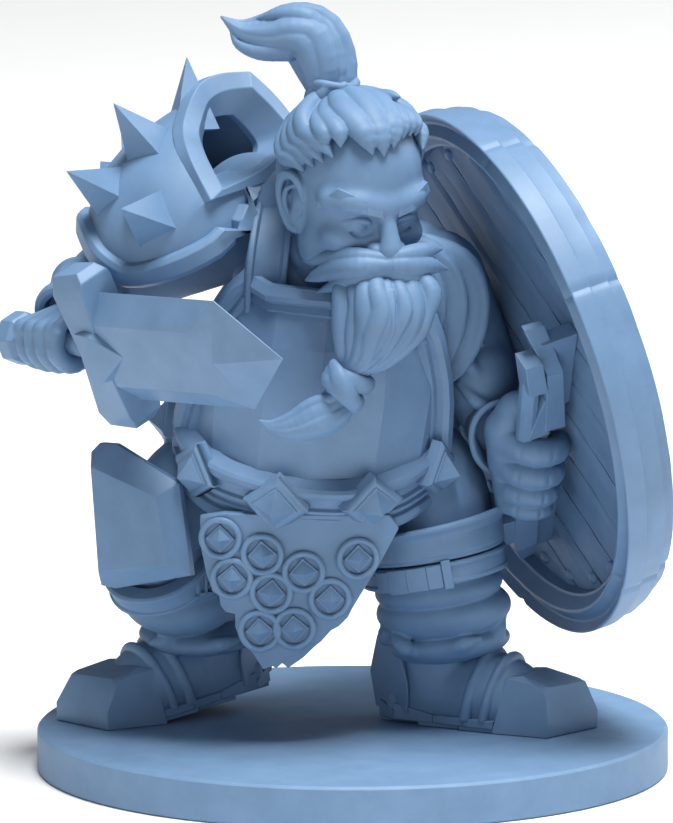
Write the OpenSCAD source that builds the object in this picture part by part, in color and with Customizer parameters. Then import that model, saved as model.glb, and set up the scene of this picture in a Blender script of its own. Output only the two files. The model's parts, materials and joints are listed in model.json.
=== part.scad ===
// Dwarf shield-bearer, a tabletop game miniature on a round base.
// Frame: origin at the centre of the base's underside, +Z up, the figure faces -Y.
// Left and right are the figure's own: the shield is on its left (+X), the sword in its right hand (-X).

/* [Base] */
// Diameter of the round base
base_d = 25; // [24.5:0.5:32]
// Thickness of the round base
base_h = 1.7; // [1.6:0.1:3]
// Radius of the peg under each boot
peg_r = 0.55; // [0.4:0.05:0.6]
// Length of the peg under each boot
peg_len = 1.1; // [0.8:0.1:1.2]
// Glue gap around and under each peg
glue_gap = 0.05; // [0.02:0.01:0.1]

/* [Shield] */
// Outer radius of the shield's rim
shield_r = 10.8; // [10.4:0.1:11]
// Depth of the rim, from its back edge to its front edge
shield_rim_depth = 2.3; // [2.2:0.1:2.6]
// Number of boards across the shield
shield_boards = 9; // [7:1:11]
// Number of rivets round the back of the rim
shield_rivet_count = 24; // [12:2:30]

/* [Sword] */
// Length of the blade from the guard to the point
blade_len = 11; // [10:0.5:12]
// Width of the blade
blade_w = 4.8; // [4.2:0.1:5]
// Length of the cross guard
guard_len = 6.8; // [6:0.1:7]

/* [Hidden] */
eps = 0.01;
soft_sides = 16;   // sides of a soft tube
steel = "lightsteelblue";
cloth = "steelblue";
skin = "lightblue";
leather = "slategray";

// ---------- helpers ----------

function unit(v) = v / norm(v);

// Places children with their +Z along z and their +X as near to x as it can be.
module stand(o, z, x = [1, 0, 0]) {
    w = unit(z);
    v = unit(cross(w, x));
    u = cross(v, w);
    multmatrix([
        [u[0], v[0], w[0], o[0]],
        [u[1], v[1], w[1], o[1]],
        [u[2], v[2], w[2], o[2]],
        [0, 0, 0, 1]
    ]) children();
}

module on_deck() {
    translate([0, 0, base_h]) children();
}

// The faces of a closed loft of m rings of n points, with flat caps.
function loft_faces(m, n) = concat(
    [[for (j = [0:n - 1]) j]],
    [for (i = [0:m - 2], j = [0:n - 1], half = [0, 1])
        half == 0
            ? [i * n + j, (i + 1) * n + j, (i + 1) * n + (j + 1) % n]
            : [i * n + j, (i + 1) * n + (j + 1) % n, i * n + (j + 1) % n]],
    [[for (j = [n - 1:-1:0]) (m - 1) * n + j]]
);

module loft(rings) {
    polyhedron([for (r = rings) for (p = r) p], loft_faces(len(rings), len(rings[0])));
}

// The direction of a path at its point i.
function heading(path, i) = unit(
    path[min(i + 1, len(path) - 1)] - path[max(i - 1, 0)]
);

// A round or oval ring across dir, a along the side direction and b along the other.
function oval(c, dir, side, a, b, n) =
    let (w = unit(dir), v = unit(cross(w, side)), u = cross(v, w))
    [for (k = [0:n - 1]) c + a * cos(360 * k / n) * u + b * sin(360 * k / n) * v];

// A soft tube through stations [[x, y, z], a, b]: a is its half width along side, b the other half width.
module limb(stations, side = [1, 0, 0], n = soft_sides) {
    path = [for (s = stations) s[0]];
    loft([for (i = [0:len(stations) - 1])
        oval(path[i], heading(path, i), side, stations[i][1], stations[i][2], n)]);
}

// A closed plate between an outer and an inner grid of points, rows by columns.
module plate(outer, inner) {
    m = len(outer);
    n = len(outer[0]);
    o = m * n;
    polyhedron(
        concat([for (r = outer) for (p = r) p], [for (r = inner) for (p = r) p]),
        concat(
            [for (i = [0:m - 2], j = [0:n - 2], h = [0, 1]) h == 0
                ? [i * n + j, (i + 1) * n + j, (i + 1) * n + j + 1]
                : [i * n + j, (i + 1) * n + j + 1, i * n + j + 1]],
            [for (i = [0:m - 2], j = [0:n - 2], h = [0, 1]) h == 0
                ? [o + i * n + j, o + (i + 1) * n + j + 1, o + (i + 1) * n + j]
                : [o + i * n + j, o + i * n + j + 1, o + (i + 1) * n + j + 1]],
            [for (i = [0:m - 2], h = [0, 1]) h == 0
                ? [i * n, o + i * n, o + (i + 1) * n]
                : [i * n, o + (i + 1) * n, (i + 1) * n]],
            [for (i = [0:m - 2], h = [0, 1]) h == 0
                ? [i * n + n - 1, o + (i + 1) * n + n - 1, o + i * n + n - 1]
                : [i * n + n - 1, (i + 1) * n + n - 1, o + (i + 1) * n + n - 1]],
            [for (j = [0:n - 2], h = [0, 1]) h == 0
                ? [j, o + j + 1, o + j]
                : [j, j + 1, o + j + 1]],
            [for (j = [0:n - 2], h = [0, 1]) h == 0
                ? [(m - 1) * n + j, o + (m - 1) * n + j, o + (m - 1) * n + j + 1]
                : [(m - 1) * n + j, o + (m - 1) * n + j + 1, (m - 1) * n + j + 1]]
        )
    );
}

// A four-sided spike standing on its base square, with its point up.
module spike(half, height) {
    cylinder(h = height, r1 = half * sqrt(2), r2 = 0.02, $fn = 4);
}

// ---------- where things are ----------

// Each foot: the back of its heel on the deck, the way it points, and how far its heel is lifted.
left_foot = [1.5, 2.0];
left_foot_turn = -27;
left_heel_lift = 0;
right_foot = [-3.7, 4.3];
right_foot_turn = 212;
right_heel_lift = 9;      // degrees, about the ball of the foot
ball_of_foot = 6;         // from the back of the heel to the ball
sole_t = 0.45;

waist = [-1.7, 0, 12.9];
belt_tilt = 19;
belt_r = 5.15;
belt_h = 2.3;
stud_turns = [for (k = [0:8]) -21 - 40 * k];

head_at = [0.1, -4.5, 23.8];
face_way = unit([0.45, -0.85, -0.31]);
head_up = unit([0, 0, 1] - face_way[2] * face_way);
head_side = cross(face_way, head_up);   // towards the figure's right ear

shoulder_at = [-6.6, 0, 21.4];
pauldron_r = 3.9;
pauldron_t = 0.45;
pauldron_way = unit([-0.42, -0.36, 0.83]);
crest_loop = [
    [-3.4, -2.4, 24.2], [-2.5, -1.0, 25.6], [-3.4, 0.9, 27.0], [-4.6, 1.2, 27.4],
    [-5.8, 0.3, 27.2], [-6.5, -1.6, 25.6], [-6.2, -2.6, 24.4], [-5.4, -3.3, 23.3]
];
spike_ways = [
    [0.05, 0.35, 0.93], [-0.40, -0.30, 0.86], [-0.68, 0.52, 0.50],
    [-0.40, -0.88, 0.24], [-0.42, 0.80, 0.55], [-0.80, -0.22, 0.52]
];

guard_at = [-9.67, -3, 17.5];
blade_way = unit([0.632, -0.773, 0.082]);
edge_way = unit([0.339, 0.179, -0.924]);
grip_r = 0.5;
right_fist = guard_at - 3.2 * blade_way;

shield_at = [5.75, 0.5, 15.7];
shield_way = unit([0.886, 0.389, 0.252]);      // out through the shield's face
handle_way = unit([-0.068, 0.647, -0.760]);    // along the handle
board_way = cross(shield_way, handle_way);
board_back = 1.0;
left_fist = [7.2, -1.95, 13.2];
bar_r = 0.42;

module in_foot(at, turn, lift) {
    on_deck() translate([at[0], at[1], 0]) rotate([0, 0, turn])
        translate([ball_of_foot, 0, 0]) rotate([0, lift, 0]) translate([-ball_of_foot, 0, 0])
            children();
}
module in_left_foot() { in_foot(left_foot, left_foot_turn, left_heel_lift) children(); }
module in_right_foot() { in_foot(right_foot, right_foot_turn, right_heel_lift) children(); }

module in_waist() {
    translate(waist) rotate([belt_tilt, 0, 0]) children();
}

module in_head() {
    multmatrix([
        [head_side[0], face_way[0], head_up[0], head_at[0]],
        [head_side[1], face_way[1], head_up[1], head_at[1]],
        [head_side[2], face_way[2], head_up[2], head_at[2]],
        [0, 0, 0, 1]
    ]) children();
}

module in_sword() { stand(guard_at, blade_way, edge_way) children(); }
module in_shield() { stand(shield_at, shield_way, handle_way) children(); }

// ---------- base ----------

module peg_places() {
    on_deck() translate([left_foot[0], left_foot[1], 0]) rotate([0, 0, left_foot_turn])
        translate([4.4, 0, 0]) children();
    on_deck() translate([right_foot[0], right_foot[1], 0]) rotate([0, 0, right_foot_turn])
        translate([ball_of_foot, 0, 0]) children();
}

module base_disc() {
    color("steelblue") difference() {
        cylinder(h = base_h, d = base_d, $fn = 96);
        peg_places() translate([0, 0, -peg_len - glue_gap])
            cylinder(h = peg_len + 1, r = peg_r + glue_gap, $fn = 32);
    }
}

// ---------- boots ----------

module foot_outline(grow = 0) {
    offset(r = grow, $fn = 24) hull() {
        translate([1.35, 0]) circle(r = 1.3, $fn = 24);
        translate([5.2, 0]) circle(r = 1.55, $fn = 24);
        translate([6.3, 0]) circle(r = 1.3, $fn = 24);
    }
}

// The boot's foot and ankle, grown outwards by grow.
module boot_form(grow = 0, lean = 0) {
    hull() {
        translate([0, 0, sole_t]) linear_extrude(0.9) foot_outline(grow);
        translate([2.1, 0, 2.2]) cylinder(h = 1.0 + grow, r = 1.5 + grow, $fn = 24);
        translate([4.6, 0, 1.4]) sphere(r = 1.35 + grow, $fn = 20);
    }
    hull() {
        translate([1.9, 0, 1.6]) cylinder(h = 0.1, r = 1.5 + grow, $fn = 24);
        translate([2.2 + lean, 0, 3.6 + grow]) cylinder(h = 0.1, r = 1.6 + grow, $fn = 24);
    }
}

module toe_block() {
    hull() {
        linear_extrude(0.8)
            polygon([[5.5, 1.6], [8.2, 1.5], [8.8, 0.7], [8.8, -0.7], [8.2, -1.5], [5.5, -1.6]]);
        translate([0, 0, 2.1]) linear_extrude(0.25)
            polygon([[5.6, 1.1], [7.5, 0.85], [7.5, -0.85], [5.6, -1.1]]);
    }
}

module heel_shell() {
    difference() {
        hull() {
            translate([0, 0, sole_t]) linear_extrude(0.5)
                polygon([[-0.35, 0.8], [-0.35, -0.8], [0.9, -1.75], [1.9, -1.75], [1.9, 1.75], [0.9, 1.75]]);
            translate([0, 0, 3.0]) linear_extrude(0.3)
                polygon([[-0.2, 0.6], [-0.2, -0.6], [0.9, -1.85], [1.5, -1.85], [1.5, 1.85], [0.9, 1.85]]);
        }
        boot_form(0);
        translate([2.0, 0, 0]) rotate([0, 24, 0]) translate([0.3, -3, -2]) cube([4, 6, 9]);
    }
}

module sole_form() {
    linear_extrude(sole_t) difference() {
        foot_outline(0.15);
        translate([5.5, -3]) square([4, 6]);
    }
}

module peg() {
    translate([0, 0, -peg_len]) cylinder(h = peg_len + sole_t + 0.6, r = peg_r, $fn = 32);
}

module left_boot() {
    color(leather) {
        difference() {
            in_left_foot() boot_form(0);
            raw_left_cap();
            raw_left_leg();
        }
        left_peg();
    }
}
module left_peg() {
    on_deck() translate([left_foot[0], left_foot[1], 0]) rotate([0, 0, left_foot_turn])
        translate([4.4, 0, 0]) peg();
}
module raw_left_cap() { in_left_foot() toe_block(); }
module left_toe_cap() { color(steel) raw_left_cap(); }
module left_sole() {
    color(leather) difference() {
        in_left_foot() sole_form();
        left_peg();
    }
}
module left_heel_guard() {
    color(steel) difference() {
        in_left_foot() heel_shell();
        raw_left_leg();
    }
}

module right_peg() {
    on_deck() translate([right_foot[0], right_foot[1], 0]) rotate([0, 0, right_foot_turn])
        translate([ball_of_foot, 0, 0]) peg();
}
module raw_right_cap() {
    in_foot(right_foot, right_foot_turn, 0) toe_block();
}
module right_boot() {
    color(leather) difference() {
        in_right_foot() boot_form(0);
        raw_right_cap();
        raw_right_leg();
        translate([0, 0, -5 + base_h]) cube([60, 60, 10], center = true);
    }
}
module right_toe_cap() {
    color(steel) {
        difference() {
            raw_right_cap();
            in_right_foot() sole_form();
        }
        right_peg();
    }
}
module right_sole() {
    color(leather) difference() {
        in_right_foot() sole_form();
        raw_right_cap();
        translate([0, 0, -5 + base_h]) cube([60, 60, 10], center = true);
    }
}
module right_heel_guard() {
    color(steel) difference() {
        in_right_foot() heel_shell();
        raw_right_leg();
    }
}

// ---------- legs ----------

module raw_left_leg() {
    limb([
        [[3.3, 1.05, 3.9], 1.75, 1.6], [[3.5, 0.7, 4.5], 2.45, 2.3], [[3.55, 0.35, 5.5], 2.75, 2.6],
        [[3.4, 0.1, 6.6], 2.6, 2.5], [[3.2, -0.1, 7.4], 2.35, 2.3], [[3.1, -0.2, 9.4], 2.3, 2.25],
        [[3.0, 0.1, 10.8], 2.5, 2.45], [[2.5, 0.6, 12.2], 2.2, 2.4], [[1.9, 0.9, 13.0], 1.6, 1.8]
    ]);
}
module raw_right_leg() {
    limb([
        [[-5.7, 3.1, 4.3], 1.75, 1.6], [[-6.1, 2.3, 5.3], 2.4, 2.3], [[-6.5, 1.5, 6.3], 2.5, 2.4],
        [[-7.0, 0.6, 7.4], 2.3, 2.2], [[-7.5, -0.3, 8.6], 1.95, 1.9], [[-7.7, -0.7, 9.4], 1.5, 1.5]
    ]);
    arm_length([-7.75, -0.85, 9.6], 1.9, [-5.6, 0.5, 11.7], 2.1);
}
module raw_seat() {
    limb([
        [[-1.4, 1.6, 8.6], 1.6, 1.5], [[-1.5, 1.6, 9.4], 3.4, 2.6], [[-1.6, 1.3, 10.6], 4.6, 3.6],
        [[-1.7, 0.9, 12.0], 4.9, 4.2], [[-1.7, 0.8, 13.0], 4.6, 4.1]
    ]);
}
module left_trouser_leg() {
    color(cloth) difference() {
        raw_left_leg();
        raw_torso();
        raw_belt();
    }
}
module right_trouser_leg() {
    color(cloth) difference() {
        raw_right_leg();
        raw_torso();
        raw_belt();
    }
}
module trouser_seat() {
    color(cloth) difference() {
        raw_seat();
        raw_left_leg();
        raw_right_leg();
        raw_knee_band();
        raw_torso();
        raw_belt();
        raw_apron();
    }
}

module knee_ring(z0, z1, r0, r1, t) {
    difference() {
        hull() {
            translate([0, 0, z0]) cylinder(h = 0.3, r = r0, $fn = 40);
            translate([0, 0, z1 - 0.3]) cylinder(h = 0.3, r = r1, $fn = 40);
        }
        translate([0, 0, z0 - 1]) cylinder(h = z1 - z0 + 2, r = min(r0, r1) - t, $fn = 40);
    }
}
module in_left_knee() { translate([3.1, -0.2, 0]) rotate([0, 2, 0]) children(); }
module raw_knee_band() {
    in_left_knee() {
        knee_ring(8.7, 10.3, 2.72, 3.0, 0.5);
        knee_ring(9.75, 10.35, 3.15, 3.2, 0.7);
    }
}
module left_knee_band() { color(leather) difference() { raw_knee_band(); raw_left_leg(); } }
module left_knee_belt() {
    color(leather) difference() {
        union() {
            in_left_knee() knee_ring(7.5, 8.6, 2.85, 2.9, 0.7);
            in_left_knee() rotate([0, 0, -100]) translate([2.75, 0, 8.05])
                cube([0.8, 1.5, 1.5], center = true);
        }
        raw_left_leg();
    }
}

knee_plate_at = [-8.3, -3.3, 10.7];
knee_plate_way = unit([-0.32, -0.93, 0.12]);
module raw_knee_plate() {
    stand(knee_plate_at, knee_plate_way, [1, 0, 0]) difference() {
        hull() {
            translate([0, 0, -0.75]) linear_extrude(0.35)
                polygon([[-1.9, 3.0], [-0.7, 2.9], [2.0, 1.35], [2.1, -2.4], [-1.0, -2.7], [-1.5, -2.5], [-1.5, 0]]);
            linear_extrude(0.35)
                polygon([[-1.5, 2.4], [-0.7, 2.4], [1.4, 1.1], [1.6, -1.9], [-1.1, -2.2], [-1.2, 0]]);
        }
        translate([0.2, 0, -1.2]) rotate([90, 0, 0]) cylinder(h = 9, r = 0.8, center = true, $fn = 24);
    }
}
module right_knee_guard() { color(steel) difference() { raw_knee_plate(); raw_right_leg(); } }
module right_knee_strap() {
    color(leather) difference() {
        stand([-7.55, -0.5, 8.2], [-0.35, -0.65, 0.75], [1, 0, 0]) difference() {
            cylinder(h = 1.0, r = 2.5, center = true, $fn = 40);
            cylinder(h = 2, r = 1.75, center = true, $fn = 40);
        }
        raw_right_leg();
        raw_knee_plate();
    }
}

// ---------- belt and apron ----------

belt_profile = [
    [belt_r - 0.5, -1.15], [belt_r + 0.35, -1.15], [belt_r + 0.55, -0.8], [belt_r + 0.35, -0.45],
    [belt_r + 0.3, -0.35], [belt_r + 0.5, -0.05], [belt_r + 0.3, 0.3], [belt_r + 0.25, 0.4],
    [belt_r + 0.42, 0.75], [belt_r + 0.15, 1.15], [belt_r - 0.5, 1.15]
];
module raw_belt() {
    in_waist() rotate_extrude($fn = 72) polygon(belt_profile);
}
module stud_places() {
    for (a = stud_turns) in_waist() rotate([0, 0, a]) translate([belt_r + 0.35, 0, 0.35])
        rotate([0, 90, 0]) children();
}
module stud_plate() {
    hull() {
        translate([0, 0, -0.35]) cylinder(h = 0.45, r = 1.3, $fn = 4);
        translate([0, 0, 0.25]) cylinder(h = 0.1, r = 1.1, $fn = 4);
    }
}
module stud_gem() {
    translate([0, 0, 0.35]) cylinder(h = 0.55, r1 = 0.85, r2 = 0.02, $fn = 4);
}
module belt() { color(leather) difference() { raw_belt(); stud_places() stud_plate(); } }
module belt_stud_plates() {
    color(steel) difference() {
        stud_places() stud_plate();
        raw_left_arm();
    }
}
module belt_gems() { color("lightblue") stud_places() stud_gem(); }

apron_y = -4.75;
apron_lean = 4;
apron_outline = [
    [-6.0, 10.9], [-5.9, 9.6], [-5.5, 7.9], [-5.1, 7.1], [-4.6, 7.0], [-4.5, 6.2], [-3.5, 4.8],
    [-2.75, 5.05], [-2.55, 4.85], [-1.95, 5.3], [-0.85, 6.4], [-0.2, 6.9], [0.3, 7.8], [1.8, 10.4],
    [1.2, 11.2], [-5.0, 11.4]
];
ring_places = [
    [-5.2, 10.1], [-3.55, 9.5], [-1.93, 8.8], [0.2, 9.3], [-4.75, 8.5], [-3.2, 7.95],
    [-0.9, 7.7], [-3.65, 6.4], [-2.3, 6.5]
];
module in_apron() {
    translate([0, apron_y, 10.5]) rotate([90 + apron_lean, 0, 0]) translate([0, -10.5, 0]) children();
}
module raw_apron() {
    in_apron() translate([0, 0, -0.55]) linear_extrude(0.55) polygon(apron_outline);
}
module apron() {
    color(leather) difference() {
        raw_apron();
        raw_torso();
        raw_belt();
        stud_places() stud_plate();
        translate([-10, -7, 11.2]) cube([20, 7, 3]);
    }
}
module apron_ring() {
    rotate_extrude($fn = 28) polygon([[0.5, 0], [0.84, 0], [0.78, 0.28], [0.6, 0.3], [0.5, 0.12]]);
}
module apron_rings() {
    color(steel) difference() {
        in_apron() for (p = ring_places) translate([p[0], p[1], 0]) apron_ring();
        raw_belt();
        stud_places() stud_plate();
    }
}
module apron_gems() {
    color("lightblue") difference() {
        in_apron() for (p = ring_places) translate([p[0], p[1], 0]) spike(0.31, 0.36);
        raw_belt();
    }
}

// ---------- trunk ----------

module raw_torso() {
    limb([
        [[-1.7, 0.6, 12.0], 4.4, 4.2], [[-1.7, 0.3, 13.2], 4.75, 4.7], [[-1.6, 0.2, 15.0], 4.8, 4.8],
        [[-1.3, 0.2, 17.0], 4.6, 4.6], [[-0.9, 0.3, 19.0], 4.5, 4.2], [[-0.6, 0.1, 20.6], 4.2, 3.6],
        [[-0.4, -0.8, 21.8], 3.0, 2.7], [[-0.2, -2.2, 22.6], 1.9, 1.9], [[0.0, -3.0, 23.0], 1.2, 1.2]
    ], n = 24);
}
// Straight-sided panels round the trunk, grown by grow and cut to a band of heights.
module panels(grow) {
    rings = [[11.6, 4.9, 4.85, 0.25], [13.2, 5.1, 5.1, 0.25], [15.4, 5.25, 5.3, 0.15], [17.6, 5.0, 5.2, 0],
        [19.4, 4.75, 4.9, 0.1], [21.0, 4.3, 4.3, 0.3]];
    loft([for (r = rings) [for (k = [0:11])
        [-1.7 + 0.11 * (r[0] - 11.6) + (r[1] + grow) * cos(30 * k + 15),
            r[3] + (r[2] + grow) * sin(30 * k + 15), r[0]]]]);
}
module front_cut() {
    hull() {
        translate([-1.2, -6, 10]) cube([11, 12, 0.1], center = true);
        translate([-1.2, -6, 19.2]) cube([11, 11, 0.1], center = true);
        translate([-2.2, -6, 20.2]) cube([5.6, 9.4, 0.1], center = true);
    }
}
module raw_breastplate(grow = 0) {
    intersection() {
        difference() {
            panels(0.1 + grow);
            raw_torso();
        }
        front_cut();
    }
}
module breastplate() {
    color(steel) difference() {
        raw_breastplate();
        raw_breast_trim();
        raw_belt();
        stud_places() stud_plate();
        raw_neck_strap();
        raw_left_arm();
        raw_mantle();
    }
}
module raw_breast_trim() {
    intersection() {
        difference() {
            panels(0.4);
            panels(0.05);
        }
        difference() {
            front_cut();
            translate([0, 0, -0.75]) front_cut();
        }
    }
}
module breastplate_trim() {
    color(steel) difference() {
        raw_breast_trim();
        raw_torso();
        raw_neck_strap();
        raw_left_arm();
        raw_mantle();
        raw_beard();
    }
}
module back_plate() {
    color(steel) difference() {
        intersection() {
            panels(0.1);
            translate([-1.2, 5.3, 16.2]) cube([11, 9.2, 7.4], center = true);
        }
        raw_torso();
        raw_belt();
        raw_right_arm();
        raw_left_arm();
        raw_mantle();
        raw_shell();
        raw_shield_zone();
    }
}
module raw_neck_strap() {
    limb([[[-3.5, -4.9, 19.3], 0.75, 0.3], [[-3.4, -4.3, 20.6], 0.75, 0.35], [[-3.2, -3.3, 21.8], 0.75, 0.35],
        [[-3.0, -2.0, 22.6], 0.75, 0.4], [[-2.9, -0.6, 22.8], 0.75, 0.4]]);
}
module shoulder_strap() {
    color(leather) difference() {
        raw_neck_strap();
        raw_torso();
        raw_head();
        raw_shell();
    }
}
// The peg that carries the head, standing on the neck.
neck_peg_r = 0.6;
module neck_peg(r = neck_peg_r) {
    stand([0.0, -2.6, 22.6], [0.03, -0.6, 0.8]) cylinder(h = 1.9, r = r, $fn = 32);
}
module torso() {
    color(cloth) {
        difference() {
            raw_torso();
            raw_belt();
            raw_head();
        }
        neck_peg();
    }
}
module raw_collar() {
    stand([-0.3, -2.2, 22.2], [0.1, -0.75, 0.65], [1, 0, 0]) difference() {
        cylinder(h = 1.1, r1 = 2.7, r2 = 2.4, center = true, $fn = 40);
        cylinder(h = 2, r = 1.7, center = true, $fn = 40);
    }
}
module collar() {
    color(cloth) difference() {
        raw_collar();
        raw_head();
        raw_neck_strap();
        raw_shell();
        raw_beard();
    }
}

// ---------- head ----------

module raw_head() {
    in_head() {
        limb([
            [[0, 1.3, -3.6], 0.9, 0.8], [[0, 0.9, -3.0], 1.7, 1.7], [[0, 0.4, -1.8], 2.4, 2.5],
            [[0, 0.1, -0.4], 2.7, 2.9], [[0, -0.1, 1.0], 2.75, 3.0], [[0, -0.4, 2.3], 2.4, 2.6],
            [[0, -0.6, 3.2], 1.6, 1.8], [[0, -0.7, 3.6], 0.6, 0.7]
        ], n = 24);
        hull() {
            translate([0, 2.7, 0.4]) sphere(r = 0.35, $fn = 16);
            translate([0, 3.5, -0.95]) sphere(r = 0.5, $fn = 16);
            translate([0.45, 2.8, -1.1]) sphere(r = 0.35, $fn = 16);
            translate([-0.45, 2.8, -1.1]) sphere(r = 0.35, $fn = 16);
        }
        for (s = [-1, 1]) hull() {
            translate([2.65 * s, -0.6, 0.1]) sphere(r = 0.45, $fn = 16);
            translate([2.6 * s, -0.3, -1.4]) sphere(r = 0.3, $fn = 16);
            translate([2.3 * s, 0.1, -0.6]) sphere(r = 0.4, $fn = 16);
        }
    }
}
module head() {
    color(skin) difference() {
        raw_head();
        raw_collar();
        neck_peg(neck_peg_r + glue_gap);
    }
}
module raw_hair() {
    in_head() {
        intersection() {
            limb([
                [[0, -0.7, -2.2], 1.9, 2.0], [[0, -0.6, -1.0], 2.9, 2.9], [[0, -0.4, 0.6], 3.05, 3.2],
                [[0, -0.5, 2.2], 2.9, 3.0], [[0, -0.7, 3.4], 2.1, 2.3], [[0, -0.8, 4.1], 0.8, 0.9]
            ], n = 24);
            union() {
                translate([-4, -5, 0.2]) cube([8, 5.2, 6]);
                translate([-4, -5, -3]) cube([8, 3.4, 6]);
                hull() {
                    translate([-2.4, -1, 1.9]) cube([4.8, 2.5, 3]);
                    translate([-1.4, -1, 2.2]) cube([2.8, 3.6, 2]);
                }
            }
        }
        for (k = [-1.5:1:1.5]) hull() {
            translate([0.62 * k, 0.4, 3.4]) sphere(r = 0.45, $fn = 12);
            translate([0.8 * k, 1.9, 2.95 - 0.1 * abs(k)]) sphere(r = 0.32, $fn = 12);
            translate([0.85 * k, 2.65, 2.1]) sphere(r = 0.14, $fn = 12);
        }
    }
}
module hair_cap() {
    color("lightsteelblue") difference() {
        raw_hair();
        raw_head();
        raw_band();
        raw_torso();
        raw_collar();
        raw_neck_strap();
    }
}
tail_foot = [-0.75, -3.6, 27.3];
module raw_band() {
    stand(tail_foot, [-0.05, 0.15, 1], [1, 0, 0]) rotate_extrude($fn = 40)
        polygon([[0, -0.9], [1.0, -0.9], [1.15, -0.2], [1.05, 0.45], [0.9, 0.6], [0, 0.6]]);
}
module topknot_band() { color(leather) difference() { raw_band(); raw_head(); } }
module raw_ponytail() {
    limb([
        [[-0.75, -3.5, 27.7], 0.85, 0.85], [[-0.75, -3.2, 28.4], 1.1, 1.0], [[-0.8, -2.9, 29.2], 1.25, 1.1],
        [[-1.5, -2.7, 30.0], 1.2, 1.1], [[-2.4, -2.6, 30.2], 1.05, 1.0], [[-3.3, -2.6, 30.0], 0.75, 0.7],
        [[-4.2, -2.6, 30.0], 0.5, 0.45], [[-5.2, -2.6, 30.5], 0.12, 0.12]
    ], side = [0, 1, 0]);
}
module ponytail() { color("lightsteelblue") difference() { raw_ponytail(); raw_band(); raw_hair(); } }

module raw_brows() {
    in_head() for (s = [-1, 1]) hull() {
        translate([0.35 * s, 2.95, 0.1]) sphere(r = 0.32, $fn = 16);
        translate([1.7 * s, 2.45, 1.1]) sphere(r = 0.36, $fn = 16);
        translate([2.3 * s, 1.75, 0.8]) sphere(r = 0.22, $fn = 16);
    }
}
module eyebrows() { color("lightsteelblue") difference() { raw_brows(); raw_head(); raw_hair(); } }

module raw_moustache() {
    in_head() for (s = [-1, 1]) {
        hull() {
            translate([0.25 * s, 3.2, -1.6]) sphere(r = 0.45, $fn = 20);
            translate([1.3 * s, 2.9, -1.95]) sphere(r = 0.6, $fn = 20);
        }
        hull() {
            translate([1.3 * s, 2.9, -1.95]) sphere(r = 0.6, $fn = 20);
            translate([2.2 * s, 2.2, -2.3]) sphere(r = 0.45, $fn = 20);
        }
        hull() {
            translate([2.2 * s, 2.2, -2.3]) sphere(r = 0.45, $fn = 20);
            translate([2.9 * s, 1.5, -2.6]) sphere(r = 0.12, $fn = 20);
        }
    }
}
module moustache() { color("lightsteelblue") difference() { raw_moustache(); raw_head(); } }

module raw_beard() {
    limb([
        [[1.0, -5.6, 20.9], 1.3, 0.9], [[1.2, -6.5, 20.2], 1.8, 1.2], [[1.25, -7.0, 19.4], 1.85, 1.3],
        [[0.95, -7.25, 18.5], 1.6, 1.2], [[0.4, -7.3, 17.6], 1.2, 1.0], [[-0.15, -7.2, 16.9], 0.8, 0.75],
        [[-0.35, -7.15, 16.5], 0.6, 0.6]
    ], n = 24);
}
module beard() {
    color("lightsteelblue") difference() {
        raw_beard();
        raw_head();
        raw_moustache();
        raw_tie();
        raw_torso();
        raw_breastplate(0.3);
    }
}
tie_at = [-0.35, -7.15, 16.55];
tie_way = unit([0.45, 0.05, 0.9]);
module raw_tie() {
    stand(tie_at, tie_way, [1, 0, 0]) cylinder(h = 0.7, r = 0.95, center = true, $fn = 40);
}
module beard_tie() { color(leather) raw_tie(); }
module raw_beard_tail() {
    limb([
        [[-0.45, -7.15, 16.3], 0.65, 0.65], [[-0.9, -7.15, 15.8], 0.85, 0.85], [[-1.7, -7.1, 15.3], 0.8, 0.8],
        [[-2.5, -7.0, 15.0], 0.55, 0.55], [[-3.2, -6.95, 14.95], 0.3, 0.3], [[-3.7, -6.9, 15.1], 0.08, 0.08]
    ], side = [0, 1, 0]);
}
module beard_tail() {
    color("lightsteelblue") difference() {
        raw_beard_tail();
        raw_tie();
        raw_breastplate(0.3);
    }
}

// ---------- right arm and shoulder guard ----------

// A straight length of arm between two rounded ends.
module arm_length(a, ra, b, rb) {
    hull() {
        translate(a) sphere(r = ra, $fn = 24);
        translate(b) sphere(r = rb, $fn = 24);
    }
}
module raw_right_arm() {
    arm_length([-4.1, 0.1, 22.1], 2.3, [-8.7, 2.6, 19.7], 1.8);
    arm_length([-8.7, 2.6, 19.7], 1.8, [-10.5, 2.5, 18.6], 1.3);
}
bracer_way = unit([-0.35, -0.85, -0.35]);
module raw_bracer() {
    stand([-10.85, 1.65, 18.2], bracer_way, [1, 0, 0]) {
        cylinder(h = 2.4, r1 = 1.55, r2 = 1.25, center = true, $fn = 40);
        translate([0, 0, 0.95]) cylinder(h = 0.45, r = 1.45, center = true, $fn = 40);
    }
}
module raw_right_hand() {
    hull() {
        translate(right_fist + [-0.5, -0.25, 1.1]) sphere(r = 0.75, $fn = 20);
        translate(right_fist + [-0.6, -0.35, -1.0]) sphere(r = 0.75, $fn = 20);
        translate(right_fist + [0.35, -0.1, 1.2]) sphere(r = 0.7, $fn = 20);
        translate(right_fist + [0.3, -0.2, -1.2]) sphere(r = 0.7, $fn = 20);
        translate(right_fist + [0.3, 1.2, 0.5]) sphere(r = 0.8, $fn = 20);
    }
}
module right_arm() {
    color(cloth) difference() {
        raw_right_arm();
        raw_torso();
        difference() {
            cap_side(-0.75);
            cap_ball(pauldron_r - pauldron_t - 0.05);
            crest_mouth();
        }
        raw_crest();
        raw_bracer();
    }
}
module right_bracer() {
    color(leather) {
        difference() {
            raw_bracer();
            raw_right_hand();
            raw_shell();
            raw_pommel();
        }
        right_wrist_peg();
    }
}
wrist_peg_r = 0.45;
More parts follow.
